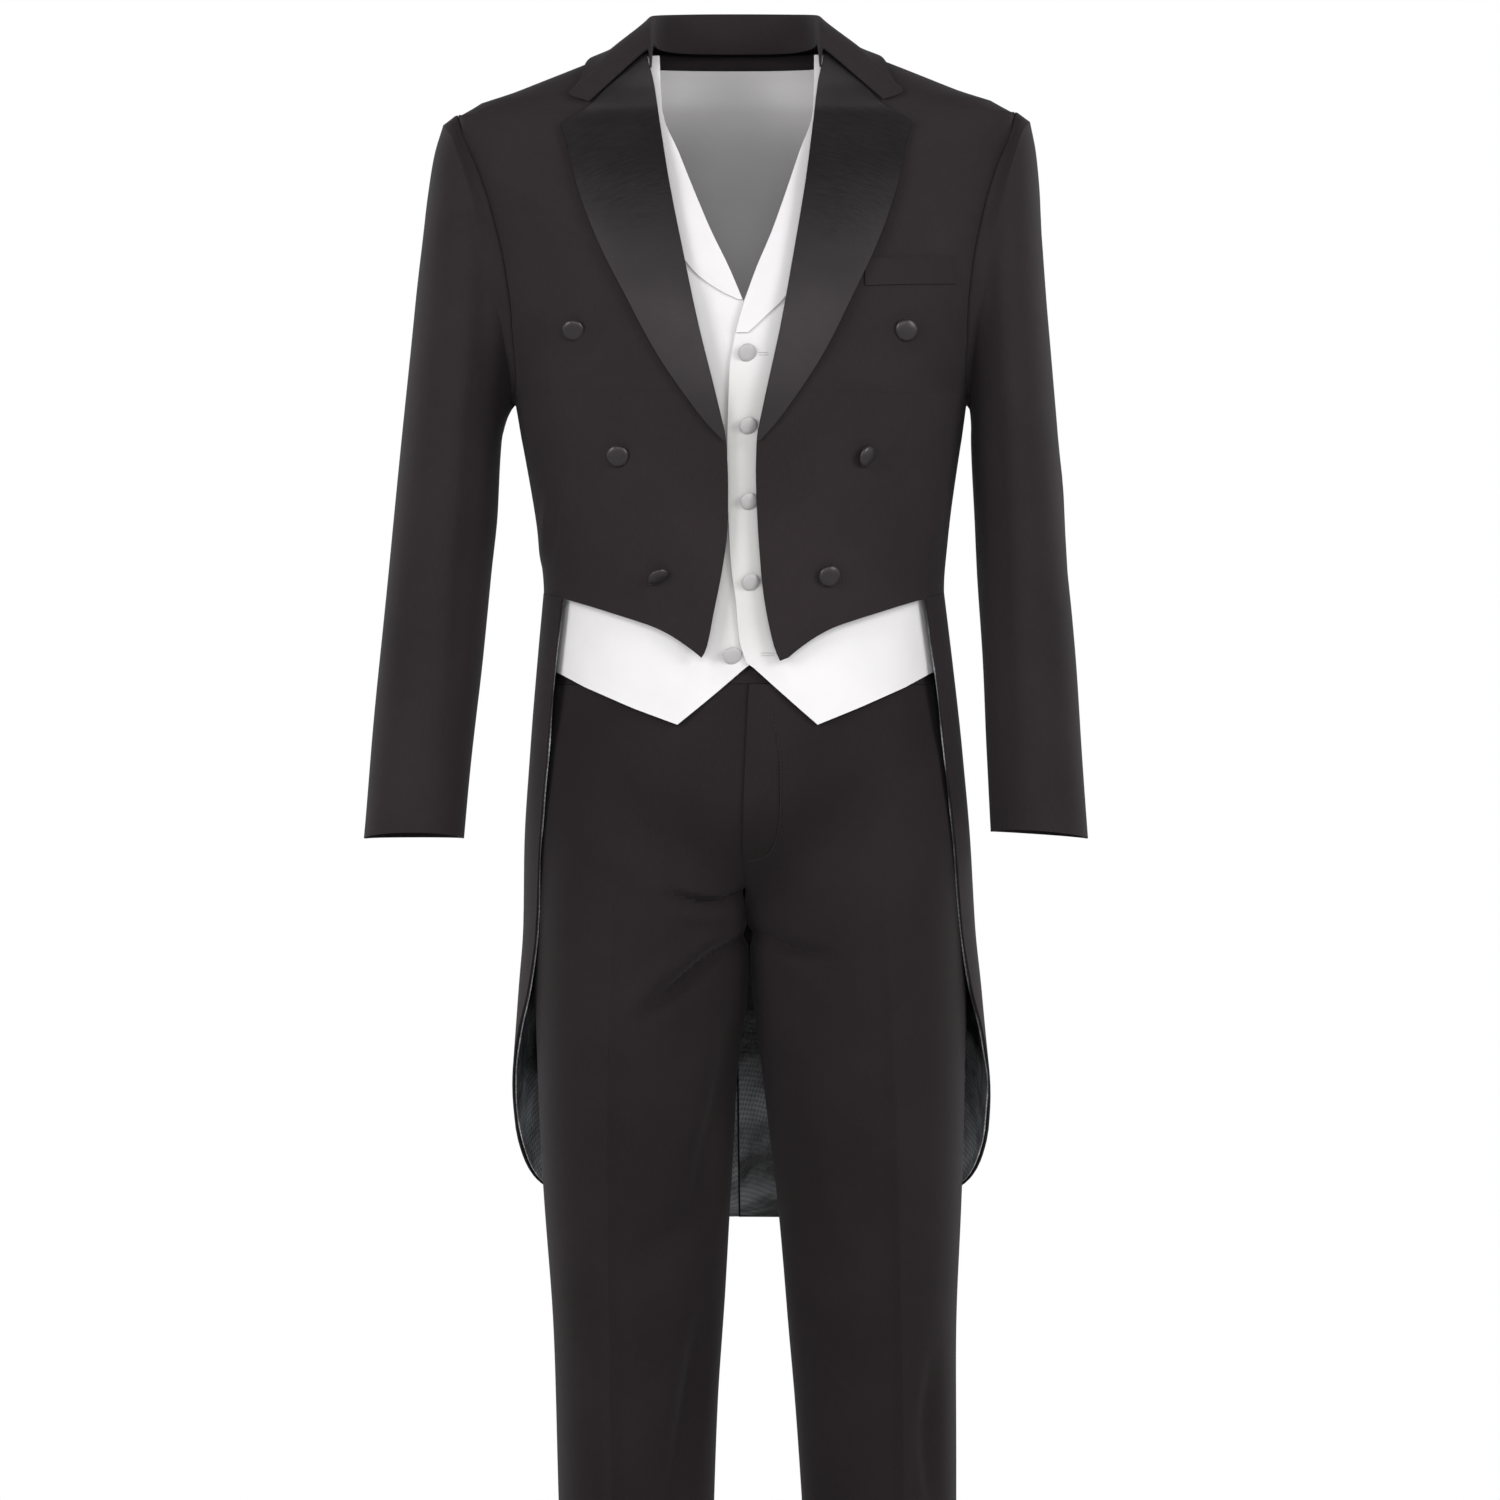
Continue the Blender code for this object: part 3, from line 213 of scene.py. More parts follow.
# Edges of the coat's fronts
FRONT_EDGE = Table("z reach", [
    (0.0125, 0.0765), (0.004, 0.0745), (-0.006, 0.0722), (-0.012, 0.0705), (-0.023, 0.0678),
    (-0.06, 0.0625), (-0.106, 0.056), (-0.168, 0.045), (-0.23, 0.033), (-0.29, 0.0192),
    (-0.325, 0.0122), (-0.355, 0.0112), (-0.39, 0.012), (-0.427, 0.0155), (-0.463, 0.0215),
    (-0.4915, 0.0278), (-0.501, 0.0318),
])
CUTAWAY = Table("turn drop", [
    (8.4, 0.0595), (12.6, 0.049), (18.0, 0.0385), (23.0, 0.0318), (28.0, 0.0273), (36.5, 0.021),
    (48.0, 0.0138), (58.0, 0.009), (73.0, 0.004), (SIDE_TURN, 0.0),
])
CUTAWAY_START = -0.325
FRONT_SWAY = 0.0033  # the fronts' closing edges swing this far to the wearer's right
SWAY_TOP = -0.39
SWAY_FULL = -0.47
BODY_ROWS_LOW = [WAIST_SEAM, -0.4, -0.355, -0.315]
BODY_ROWS_TOP = [-0.036, -0.025, -0.013, -0.001, 0.0105]
ARMHOLE = Table("z front back", [
    (SHOULDER_TIP, 90.0, 90.0), (-0.0523, 81.5, 97.5), (-0.0693, 73.5, 105.0),
    (-0.0957, 65.5, 113.0), (-0.1289, 61.0, 117.5), (-0.1658, 60.0, 119.0), (-0.2026, 61.5, 118.0),
    (-0.2359, 66.0, 115.0), (-0.2623, 71.5, 110.5), (-0.2792, 79.5, 105.0),
    (ARMPIT, SIDE_TURN, SIDE_TURN),
])

# Satin lapels: how far out their outer edge lies, up to the corner, notch and gorge seam
LAPEL_EDGE = Table("z reach", [
    (-0.3235, 0.015), (-0.31, 0.0274), (-0.289, 0.0432), (-0.2545, 0.066), (-0.205, 0.0915),
    (-0.1715, 0.108), (-0.1385, 0.1215), (-0.107, 0.1315), (-0.08, 0.1375), (-0.0614, 0.1428),
])
LAPEL_TOP = Table("z reach", [
    (-0.0614, 0.1428), (-0.043, 0.1172), (-0.03, 0.105), (-0.015, 0.0885), (-0.002, 0.0745),
])
LAPEL_ROWS = [
    -0.3235, -0.316, -0.305, -0.285, -0.26, -0.23, -0.195, -0.16, -0.125,
    -0.09, -0.072, -0.0614, -0.052, -0.043, -0.03, -0.015, -0.0035,
]
LAPEL_LIFT = 0.003
LAPEL_SETBACK = 0.0003
LAPEL_CLEAR = 0.0021

# Collar stations from the gorge to the back centre: roll line, outer edge on the coat, stand,
# and how far the fall's middle and its lower part lie off straight lines
COLLAR_COLUMNS = "station roll_x roll_y roll_z edge_turn edge_z stand belly_out belly_up sag"
COLLAR = Table(COLLAR_COLUMNS, [
    (0.0, 0.0708, -0.056, 0.0015, 28.8, -0.0415, 0.015, 0.0, 0.0, 0.0),
    (1.0, 0.0705, -0.0505, 0.0085, 38.6, -0.034, 0.016, 0.001, 0.001, 0.0),
    (2.0, 0.0699, -0.039, 0.0195, 43.5, -0.0248, 0.0175, 0.001, 0.001, 0.0),
    (3.0, 0.069, -0.022, 0.029, 54.0, -0.0134, 0.019, -0.0035, 0.0025, 0.0015),
    (4.0, 0.0675, 0.004, 0.036, 84.0, -0.0015, 0.025, -0.0145, 0.0035, 0.004),
    (5.0, 0.061, 0.029, 0.04, 118.0, -0.004, 0.029, -0.0055, 0.003, 0.002),
    (6.0, 0.04, 0.05, 0.043, 149.0, -0.006, 0.032, 0.0018, 0.0025, 0.0),
    (7.0, 0.0, 0.059, 0.0445, 180.0, -0.008, 0.033, 0.002, 0.002, 0.0),
])
COLLAR_REST = 0.0034  # the fall's edge above the coat's form
# The roll's outer shoulder, inner side and foot: how far out from the roll line, and how far down
ROLL_SHOULDER = (0.0042, 0.0006)
ROLL_INSIDE = (-0.0012, 0.0035)
ROLL_FOOT = -0.002

# Sleeve rings below the armhole, each from its outer to its inner point
SLEEVE = Table("ring outer_x outer_z inner_x inner_z deep half_depth bow", [
    (1, 0.2438, -0.053, 0.1925, -0.2925, -0.001, 0.066, 0.013),
    (2, 0.25, -0.08, 0.1935, -0.299, -0.002, 0.0695, 0.009),
    (3, 0.255, -0.12, 0.194, -0.306, -0.003, 0.0715, 0.005),
    (4, 0.2605, -0.18, 0.195, -0.317, -0.004, 0.073, 0.002),
    (5, 0.2665, -0.25, 0.1965, -0.337, -0.005, 0.0725, 0.0),
    (6, 0.2735, -0.33, 0.199, -0.376, -0.007, 0.0695, 0.0),
    (7, 0.2805, -0.41, 0.2025, -0.43, -0.01, 0.065, 0.0),
    (8, 0.2872, -0.49, 0.208, -0.496, -0.014, 0.0595, 0.0),
    (9, 0.2935, -0.57, 0.214, -0.571, -0.02, 0.0535, 0.0),
    (10, 0.299, -0.646, 0.2192, -0.646, -0.027, 0.048, 0.0),
])
# How far each arm, held a little differently, shifts its rings' outer and inner points outwards
SLEEVE_SHIFT = {
    "left": Table("ring outer inner", [
        (1, 0.0, 0.0), (2, -0.0018, -0.0015), (3, -0.0038, -0.003), (4, -0.0062, -0.0048),
        (5, -0.0085, -0.006), (6, -0.0108, -0.007), (7, -0.0133, -0.0092), (8, -0.0145, -0.012),
        (9, -0.0168, -0.0162), (10, -0.018, -0.0185),
    ]),
    "right": Table("ring outer inner", [
        (1, 0.0, 0.0), (2, 0.0015, 0.0013), (3, 0.0032, 0.0024), (4, 0.0054, 0.0034),
        (5, 0.0075, 0.0034), (6, 0.0097, 0.0032), (7, 0.012, 0.0062), (8, 0.0138, 0.0086),
        (9, 0.016, 0.0122), (10, 0.0175, 0.015),
    ]),
}
SLEEVE_STATIONS = [1, 1.5, 2, 2.7, 3.4, 4.2, 5, 6, 7, 8, 9, 10]
# How far a cuff's front rises between its corners, and its inner corner above its outer one
CUFFS = {"left": {"rise": 0.004, "slant": 0.0055}, "right": {"rise": 0.0055, "slant": 0.0}}
CUFF_RINGS = (8, 10)

# The breast pocket's welt: heights of its lower and upper edge at both ends
WELT = Table("reach low high", [(0.102, -0.1975, -0.1755), (0.176, -0.194, -0.1715)])
WELT_WALL = 0.0011

# Waistcoat edges
WAISTCOAT_V = Table("z reach", [
    (0.004, 0.064), (-0.05, 0.0615), (-0.085, 0.049), (-0.112, 0.0395), (-0.153, 0.024),
    (-0.182, 0.011), (-0.21, 0.0),
])
OVERLAP_EDGE = Table("z reach", [
    (-0.21, 0.0), (-0.238, -0.0075), (-0.266, -0.012), (-0.355, -0.015), (-0.42, -0.0135),
    (-0.452, -0.01), (-0.484, -0.0075), (-0.506, 0.0),
])
WAISTCOAT_ROWS = [
    -0.5, -0.465, -0.425, -0.37, -0.32, -0.288, -0.28, -0.262, -0.235,
    -0.21, -0.182, -0.145, -0.095, -0.05, -0.033, -0.0215, -0.011, -0.002,
]
WAISTCOAT_CENTRE = 0.0038  # the closing line's shift to the wearer's left
CENTRE_REACH = 0.09  # and how far from the centre the shift fades out
LAP_TUCK = 0.0028
TUCK_REACH = (0.026, 0.06)  # where the under front comes back out again
TUCK_HEIGHTS = (-0.16, -0.21)
LAPS = {"left": {"lap": 1.0, "tuck": 0.0}, "right": {"lap": 0.8, "tuck": LAP_TUCK}}
HEM_START = -0.4  # the waistcoat's rows follow its hem from here down
HEM_TOP = -0.5
HEM_TIP = 0.0555
TIP_SHARE = 0.15  # the least share of a front's width before the tip
WAISTCOAT_HEM = Table("reach z", [
    (-0.02, -0.496), (0.0, -0.5035), (HEM_TIP, -0.5525), (0.09, -0.539), (0.13, -0.5215),
    (0.152, -0.51), (0.17, -0.505),
])
WAISTCOAT_BACK_HEM = -0.505
REVERS_ROWS = [-0.186, -0.17, -0.15, -0.12, -0.09, -0.06, -0.04, -0.024]
REVERS_LOW_ROWS = {
    "left": [-0.236, -0.228, -0.22, -0.21, -0.204],
    "right": [-0.2085, -0.205, -0.202, -0.194],
}
REVERS_EDGE = [(-0.15, 0.06), (-0.1, 0.079), (-0.05, 0.086), (-0.024, 0.082)]
REVERS_LOW_EDGE = {
    "left": [(-0.236, 0.003), (-0.22, 0.021), (-0.204, 0.037)],
    "right": [(-0.2085, 0.004), (-0.202, 0.017), (-0.186, 0.038)],
}
REVERS_CLEAR = 0.0008
REVERS_SETBACK = 0.0004
WAISTCOAT_ARMHOLE = Table("z front back", [
    (-0.0215, 90.0, 90.0), (-0.026, 67.0, 113.0), (-0.035, 53.0, 126.0), (-0.05, 44.0, 134.0),
    (-0.085, 41.0, 137.0), (-0.13, 43.0, 136.0), (-0.17, 47.0, 132.0), (-0.21, 54.0, 126.0),
    (-0.245, 63.0, 117.0), (-0.268, 73.0, 109.0), (-0.282, 85.0, 102.0),
    (-0.288, SIDE_TURN, SIDE_TURN),
])

# Folds: points along each as sideways place and height, then width, height, face
COAT_FOLDS = [
    ([(-0.157, -0.355), (-0.16, -0.38), (-0.166, -0.415)], 0.0045, 0.0026, "front"),
    ([(-0.139, -0.335), (-0.144, -0.375), (-0.15, -0.412)], 0.004, 0.0024, "front"),
    ([(-0.15, -0.345), (-0.152, -0.38), (-0.158, -0.41)], 0.004, -0.0016, "front"),
    ([(-0.151, -0.235), (-0.155, -0.275), (-0.158, -0.315)], 0.006, 0.0014, "front"),
    ([(0.139, -0.28), (0.131, -0.335), (0.133, -0.375), (0.138, -0.41)], 0.0016, -0.0014, "front"),
    ([(-0.139, -0.29), (-0.131, -0.335), (-0.133, -0.375), (-0.138, -0.41)], 0.0016, -0.001, "front"),
    ([(0.166, -0.34), (0.158, -0.385), (0.15, -0.425)], 0.006, 0.0016, "front"),
    ([(0.12, -0.245), (0.085, -0.3), (0.06, -0.38)], 0.012, 0.0016, "front"),
    ([(-0.118, -0.245), (-0.085, -0.3), (-0.06, -0.38)], 0.012, 0.0016, "front"),
    ([(-0.12, -0.06), (0.0, -0.075), (0.12, -0.06)], 0.01, 0.0012, "back"),
    ([(-0.15, -0.25), (-0.11, -0.33), (-0.08, -0.4)], 0.011, 0.0014, "back"),
    ([(0.15, -0.24), (0.112, -0.33), (0.084, -0.4)], 0.011, 0.0014, "back"),
    ([(-0.13, -0.33), (-0.09, -0.38), (-0.04, -0.41)], 0.008, -0.001, "back"),
    ([(0.13, -0.34), (0.088, -0.385), (0.038, -0.412)], 0.008, -0.001, "back"),
]
SLEEVE_FOLDS = [
    ([(-0.205, -0.15), (-0.208, -0.23), (-0.214, -0.31), (-0.228, -0.43), (-0.238, -0.54)],
     0.008, -0.0035, "front"),
    ([(-0.222, -0.12), (-0.228, -0.24), (-0.238, -0.4)], 0.011, 0.0022, "front"),
    ([(0.201, -0.13), (0.202, -0.22), (0.204, -0.33), (0.21, -0.45), (0.214, -0.6)],
     0.008, -0.0038, "front"),
    ([(0.218, -0.11), (0.222, -0.24), (0.23, -0.42)], 0.011, 0.0022, "front"),
    ([(0.262, -0.43), (0.24, -0.455), (0.222, -0.45)], 0.01, -0.0019, "front"),
    ([(-0.276, -0.42), (-0.256, -0.448), (-0.236, -0.446)], 0.01, -0.0019, "front"),
    ([(0.228, -0.075), (0.226, -0.1), (0.22, -0.13)], 0.006, 0.0016, "front"),
    ([(-0.228, -0.075), (-0.226, -0.1), (-0.22, -0.13)], 0.006, 0.0016, "front"),
    ([(0.262, -0.34), (0.25, -0.4), (0.226, -0.44)], 0.011, 0.0022, "back"),
    ([(-0.266, -0.35), (-0.252, -0.405), (-0.23, -0.45)], 0.011, 0.0022, "back"),
    ([(0.252, -0.13), (0.24, -0.22), (0.222, -0.28)], 0.012, -0.0018, "back"),
    ([(-0.252, -0.14), (-0.24, -0.225), (-0.222, -0.285)], 0.012, -0.0018, "back"),
]
TROUSER_FOLDS = [
    ([(-0.004, -0.69), (-0.022, -0.699), (-0.04, -0.697), (-0.062, -0.69)], 0.0036, -0.008, "front"),
    ([(-0.008, -0.703), (-0.03, -0.711), (-0.06, -0.706)], 0.0065, 0.0035, "front"),
    ([(-0.002, -0.727), (-0.03, -0.743), (-0.056, -0.765), (-0.082, -0.786)], 0.006, -0.011, "front"),
    ([(-0.008, -0.718), (-0.04, -0.732), (-0.072, -0.756), (-0.1, -0.782)], 0.009, 0.0042, "front"),
    ([(0.004, -0.722), (0.03, -0.735), (0.062, -0.741)], 0.0055, -0.0075, "front"),
    ([(0.006, -0.735), (0.034, -0.752), (0.06, -0.772)], 0.011, 0.0029, "front"),
    ([(-0.016, -0.8), (-0.024, -0.86), (-0.044, -0.95), (-0.092, -0.985)], 0.011, -0.0085, "front"),
    ([(-0.028, -0.8), (-0.044, -0.87), (-0.07, -0.93)], 0.013, 0.0029, "front"),
    ([(-0.043, -1.04), (-0.05, -1.1), (-0.068, -1.19)], 0.0095, -0.0095, "front"),
    ([(0.05, -0.86), (0.062, -0.94), (0.09, -1.0)], 0.014, 0.0022, "front"),
    ([(0.148, -1.07), (0.14, -1.13), (0.146, -1.2)], 0.0085, -0.007, "front"),
    ([(-0.16, -0.56), (-0.13, -0.6), (-0.11, -0.64)], 0.012, 0.0016, "front"),
    ([(0.16, -0.57), (0.132, -0.61), (0.112, -0.65)], 0.012, 0.0016, "front"),
    ([(-0.01, -0.74), (-0.045, -0.762), (-0.09, -0.775), (-0.13, -0.77)], 0.009, -0.0039, "back"),
    ([(0.01, -0.742), (0.045, -0.766), (0.088, -0.778), (0.128, -0.772)], 0.009, -0.0039, "back"),
    ([(-0.02, -0.79), (-0.06, -0.83), (-0.11, -0.87)], 0.013, 0.0026, "back"),
    ([(0.02, -0.795), (0.06, -0.838), (0.11, -0.88)], 0.013, 0.0026, "back"),
    ([(-0.06, -1.08), (-0.1, -1.13), (-0.13, -1.15)], 0.013, -0.0026, "back"),
    ([(0.06, -1.09), (0.1, -1.135), (0.132, -1.16)], 0.013, -0.0026, "back"),
]
FOLD_ENDS = (0.08, 0.84)  # share of a half wave at a fold's start, and along it
FOLD_FADE = 0.8
FACE_DEPTH = 0.02  # the front's folds reach back to here, and the back's forward to it
# Slow unevenness of each cloth: seed of its waves, their size and their height
RIPPLES = {
    "coat": (11, 0.045, 0.00045), "tail": (23, 0.06, 0.0005), "lining": (71, 0.012, 0.0005),
    "sleeve": (31, 0.05, 0.0006), "lapel": (41, 0.03, 0.0002), "waistcoat": (53, 0.04, 0.0004),
    "trousers": (61, 0.06, 0.0008),
}
RIPPLE_WAVES = 9
TAIL_RIPPLE_HEIGHTS = (-0.5, -0.6)
SLEEVE_RIPPLE_HEIGHTS = (-0.1, -0.25)
# The pressed creases: a fine ridge down each leg, as width and height
CREASE_HEIGHTS = [-0.7, -0.735, -0.85, -0.962, -1.04, -1.115, -1.195, -1.33, -1.53]
CREASE_RIDGE = (0.0045, 0.0034)
# Grooves along the fly's seam and the armholes, as width and height, and at the pocket's mouth
FLY_GROOVE = (0.0017, -0.0018)
ARMHOLE_GROOVE = (0.0034, -0.003)
WELT_GROOVE = ([(0.102, -0.1742), (0.139, -0.1722), (0.176, -0.1702)], 0.0014, -0.0014, "front")
# How each button is turned, sideways and up
BUTTON_TILTS = {
    ("top", "right"): (0.35, -0.45), ("middle", "right"): (0.3, -0.25),
    ("low", "right"): (0.75, -1.1), ("top", "left"): (-0.25, -0.2),
    ("middle", "left"): (0.75, -0.4), ("low", "left"): (0.1, -0.35),
}
WAISTCOAT_BUTTON_TILT = (0.25, -0.42)
# The fly: its edge by height, how far it stands out, laps over, and where it closes
FLY_EDGE = [(-0.5195, 0.0033), (-0.533, 0.0021), (-0.6, -0.0022), (-0.649, -0.0046),
            (-0.69, -0.0044), (-0.724, -0.0009), (-0.735, 0.0)]
FLY_LIFT = 0.0019
FLY_UNDER = 0.005
FLY_FOOT = (-0.7, -0.672)
FLY_RAISED = (0.02, 0.036)  # its lift fades out between these
FLY_NEAR = 0.02  # the lap's edge shifts only this near the centre line
# Stitches: the fly's line, and the buttonholes' places and lengths
FLY_STITCH = [(0.019, -0.533), (0.027, -0.576), (0.0266, -0.624), (0.023, -0.646),
              (0.0146, -0.66), (-0.001, -0.664)]
BUTTONHOLES = [(0.015, -0.253, 0.008), (0.015, -0.311, 0.005), (0.015, -0.3725, 0.005),
               (0.015, -0.4375, 0.005), (0.013, -0.4955, 0.011)]
FLY_THREAD = {"pitch": 0.0032, "stitch": 0.0024, "width": 0.0006}
BUTTONHOLE_THREAD = {"pitch": 0.0006, "stitch": 0.0005, "width": 0.0009}
BUTTONHOLE_HALF = 0.001  # its two rows lie this far above and below its line
THREAD_SIDES = 6
THREAD_STEPS = 12
SEEK_ASIDE = (0.0, 0.0004, -0.0004)  # a point on a seam is also sought this far to its sides
SEEK_NEARER = 0.01  # and a later find counts only if it is this much nearer

# The studio
FLOOR_Z = -1.536
FLOOR_RADIUS = 2.4
FLOOR_COLOUR = (0.72, 0.72, 0.72, 1.0)
FLOOR_ROUGHNESS = 0.7
CAMERA_PLACE = (0.012, -4.5, -0.573)
CAMERA_WIDTH = 1.245  # what the picture spans at the suit
SENSOR = 36.0
# The surround's fades from white, above and below, and the softboxes: place, aim, size, power
SKY_FADES = [(0.16, 0.55, 0.15), (-0.17, -0.45, 0.35)]
SOFTBOXES = [
    ("left_softbox", (-2.6, -2.3, 0.9), (0.0, 0.0, -0.4), (1.3, 1.8), 64.0),
    ("right_softbox", (2.7, -2.2, 0.9), (0.0, 0.0, -0.4), (1.3, 1.8), 66.0),
    ("front_softbox", (0.0, -4.0, 1.3), (0.0, 0.0, -0.6), (2.4, 0.8), 34.0),
    ("rear_left_softbox", (2.7, 2.6, 0.9), (0.0, 0.0, -0.6), (1.3, 2.0), 24.0),
    ("rear_right_softbox", (-2.6, 2.5, 0.8), (0.0, 0.0, -0.6), (1.3, 2.0), 20.0),
]


def smooth(low, high, value):
    t = np.clip((value - low) / (high - low), 0.0, 1.0)
    return t * t * (3 - 2 * t)


def on_form(form, z, turn):
    """The point of a form at a height and at a turn round from its front centre."""
    angle = math.radians(turn)
    side, ahead = math.sin(angle), math.cos(angle)
    depth = form.at(z, "front" if ahead > 0 else "back")
    power = 2 / SQUARENESS
    x = form.at(z, "half") * math.copysign(abs(side) ** power, side)
    y = -depth * math.copysign(abs(ahead) ** power, ahead)
    return np.array([x, y, z])


def turn_at(form, z, reach):
    """The turn on the front at which a form lies this far from the centre line."""
    share = min(abs(reach) / form.at(z, "half"), 1.0)
    return math.copysign(math.degrees(math.asin(share ** (SQUARENESS / 2))), reach)


def form_normal(form, z, turn):
    small_turn, small_rise = 0.5, 0.002
    across = on_form(form, z, turn + small_turn) - on_form(form, z, turn - small_turn)
    up = on_form(form, z + small_rise, turn) - on_form(form, z - small_rise, turn)
    normal = np.cross(across, up)
    return normal / np.linalg.norm(normal)


def raised(form, z, turn, out):
    return on_form(form, z, turn) + form_normal(form, z, turn) * out


def fine(rows, times):
    """The rows with evenly spaced ones put in between."""
    spans = zip(rows, rows[1:])
    steps = [low + (high - low) * i / times for low, high in spans for i in range(times)]
    return steps + [rows[-1]]


def even_steps(first, last, count):
    return [first + (last - first) * i / (count - 1) for i in range(count)]


def curved(line, times):
    """A finer line through the points or rows of a coarse one, on smooth curves."""
    line = np.asarray(line, dtype=float)
    ends = np.concatenate([2 * line[:1] - line[1:2], line, 2 * line[-1:] - line[-2:-1]])
    points = []
    for i in range(len(line) - 1):
        p0, p1, p2, p3 = ends[i], ends[i + 1], ends[i + 2], ends[i + 3]
        bend, turn = 2 * p0 - 5 * p1 + 4 * p2 - p3, 3 * p1 - p0 - 3 * p2 + p3
        for k in range(times):
            t = k / times
            points.append(0.5 * (2 * p1 + (p2 - p0) * t + bend * t ** 2 + turn * t ** 3))
    points.append(line[-1])
    return np.array(points)


def grid_normals(grid, ring=False):
    if ring:
        across = np.roll(grid, -1, axis=1) - np.roll(grid, 1, axis=1)
    else:
        across = np.gradient(grid, axis=1)
    normals = np.cross(across, np.gradient(grid, axis=0))
    return normals / np.maximum(np.linalg.norm(normals, axis=2, keepdims=True), 1e-12)


def pulled_in(grid, ring, gap):
    grid = grid.copy()
    lines = [grid] if ring else [grid, np.swapaxes(grid, 0, 1)]
    for line in lines:
        for edge, inner in ((0, 1), (-1, -2)):
            step = line[inner] - line[edge]
            line[edge] += gap * step / np.maximum(np.linalg.norm(step, axis=1, keepdims=True), 1e-9)
    return grid


def lean(points):
    """Tilts the shoulders and shifts points sideways with their height, as the suit hangs."""
    points = points.copy()
    across, height = points[..., 0], points[..., 2]
    tilt = np.sign(across) * smooth(*TILT_REACH, np.abs(across)) * smooth(*TILT_HEIGHTS, height)
    points[..., 0] = across - HANG_LEAN * height
    points[..., 2] = height + SHOULDER_TILT * tilt
    return points


def mirrored(grid):
    return np.asarray(grid)[:, ::-1] * np.array([-1.0, 1.0, 1.0])


# Folds: each a soft ridge (+) or trough (-) along a line on the front or the back
def folds_at(points, folds):
    """How far each point is moved out by a table of folds: line, width, height, front or back."""
    out = np.zeros(points.shape[:-1])
    for line, width, height, face in folds:
        flat = points[..., [0, 2]]
        best = np.full(out.shape, np.inf)
        share = np.zeros(out.shape)
        line = np.array(line)
        lengths = np.linalg.norm(np.diff(line, axis=0), axis=1)
        before = 0.0
        for start, step, length in zip(line[:-1], np.diff(line, axis=0), lengths):
            t = np.clip(((flat - start) @ step) / length ** 2, 0, 1)
            away = np.linalg.norm(flat - start - t[..., None] * step, axis=-1)
            nearer = away < best
            best = np.where(nearer, away, best)
            share = np.where(nearer, (before + t * length) / lengths.sum(), share)
            before += length
        fade = np.clip(np.sin(np.pi * (FOLD_ENDS[0] + FOLD_ENDS[1] * share)), 0, 1) ** FOLD_FADE
        depth = points[..., 1]
        side = depth < FACE_DEPTH if face == "front" else depth > -FACE_DEPTH
        out += height * fade * np.exp(-(best / width) ** 2) * side
    return out


def ripples_at(points, seed, size, height):
    """A slow unevenness of hand-pressed cloth, the same on every run."""
    waves = np.random.default_rng(seed).normal(size=(RIPPLE_WAVES, 3)) / size
    shifts = np.random.default_rng(seed + 1).uniform(0, 2 * math.pi, RIPPLE_WAVES)
    total = sum(np.sin(points @ wave + shift) for wave, shift in zip(waves, shifts))
    return height * total / math.sqrt(RIPPLE_WAVES)


def cloth_mesh(name, outer, inner, ring, look, sharp):
    """A closed sheet between two grids, with its lengths in metres as its UV map."""
    rows, columns = outer.shape[:2]
    wrap = np.concatenate([outer, outer[:, :1]], axis=1) if ring else outer
    across = np.linalg.norm(np.diff(wrap, axis=1), axis=2)
    across = np.concatenate([np.zeros((rows, 1)), np.cumsum(across, axis=1)], axis=1)
    across -= across[:, [across.shape[1] // 2]]
    along = np.linalg.norm(np.diff(wrap, axis=0), axis=2)
    along = np.concatenate([np.zeros((1, wrap.shape[1])), np.cumsum(along, axis=0)], axis=0)
    points = np.concatenate([outer.reshape(-1, 3), inner.reshape(-1, 3)])
    back = rows * columns
    faces, maps = [], []

    def corner(row, column):
        return row * columns + column % columns

    def place(row, column):
        return (across[row, column], along[row, column])

    spans = columns if ring else columns - 1
    for row in range(rows - 1):
        for column in range(spans):
            a, b = corner(row, column), corner(row, column + 1)
            c, d = corner(row + 1, column + 1), corner(row + 1, column)
            uv = [place(row, column), place(row, column + 1),
                  place(row + 1, column + 1), place(row + 1, column)]
            faces += [(a, b, c, d), (back + d, back + c, back + b, back + a)]
            maps += uv + uv[::-1]
    rims = []
    for column in range(spans):
        rims.append(((0, column + 1), (0, column)))
        rims.append(((rows - 1, column), (rows - 1, column + 1)))
    if not ring:
        for row in range(rows - 1):
            rims.append(((row, 0), (row + 1, 0)))
            rims.append(((row + 1, columns - 1), (row, columns - 1)))
    for one, two in rims:
        a, b = corner(*one), corner(*two)
        faces.append((a, b, back + b, back + a))
        maps += [place(*one), place(*two), place(*two), place(*one)]
    mesh = bpy.data.meshes.new(name)
    mesh.from_pydata(points.tolist(), [], faces)
    layer = mesh.uv_layers.new(name="cloth")
    layer.data.foreach_set("uv", np.array(maps, dtype=np.float32).ravel())
    mesh.materials.append(look)
    piece = bpy.data.objects.new(name, mesh)
    bpy.context.collection.objects.link(piece)
    mesh.shade_smooth()
    mesh.set_sharp_from_angle(angle=math.radians(sharp))
    return piece


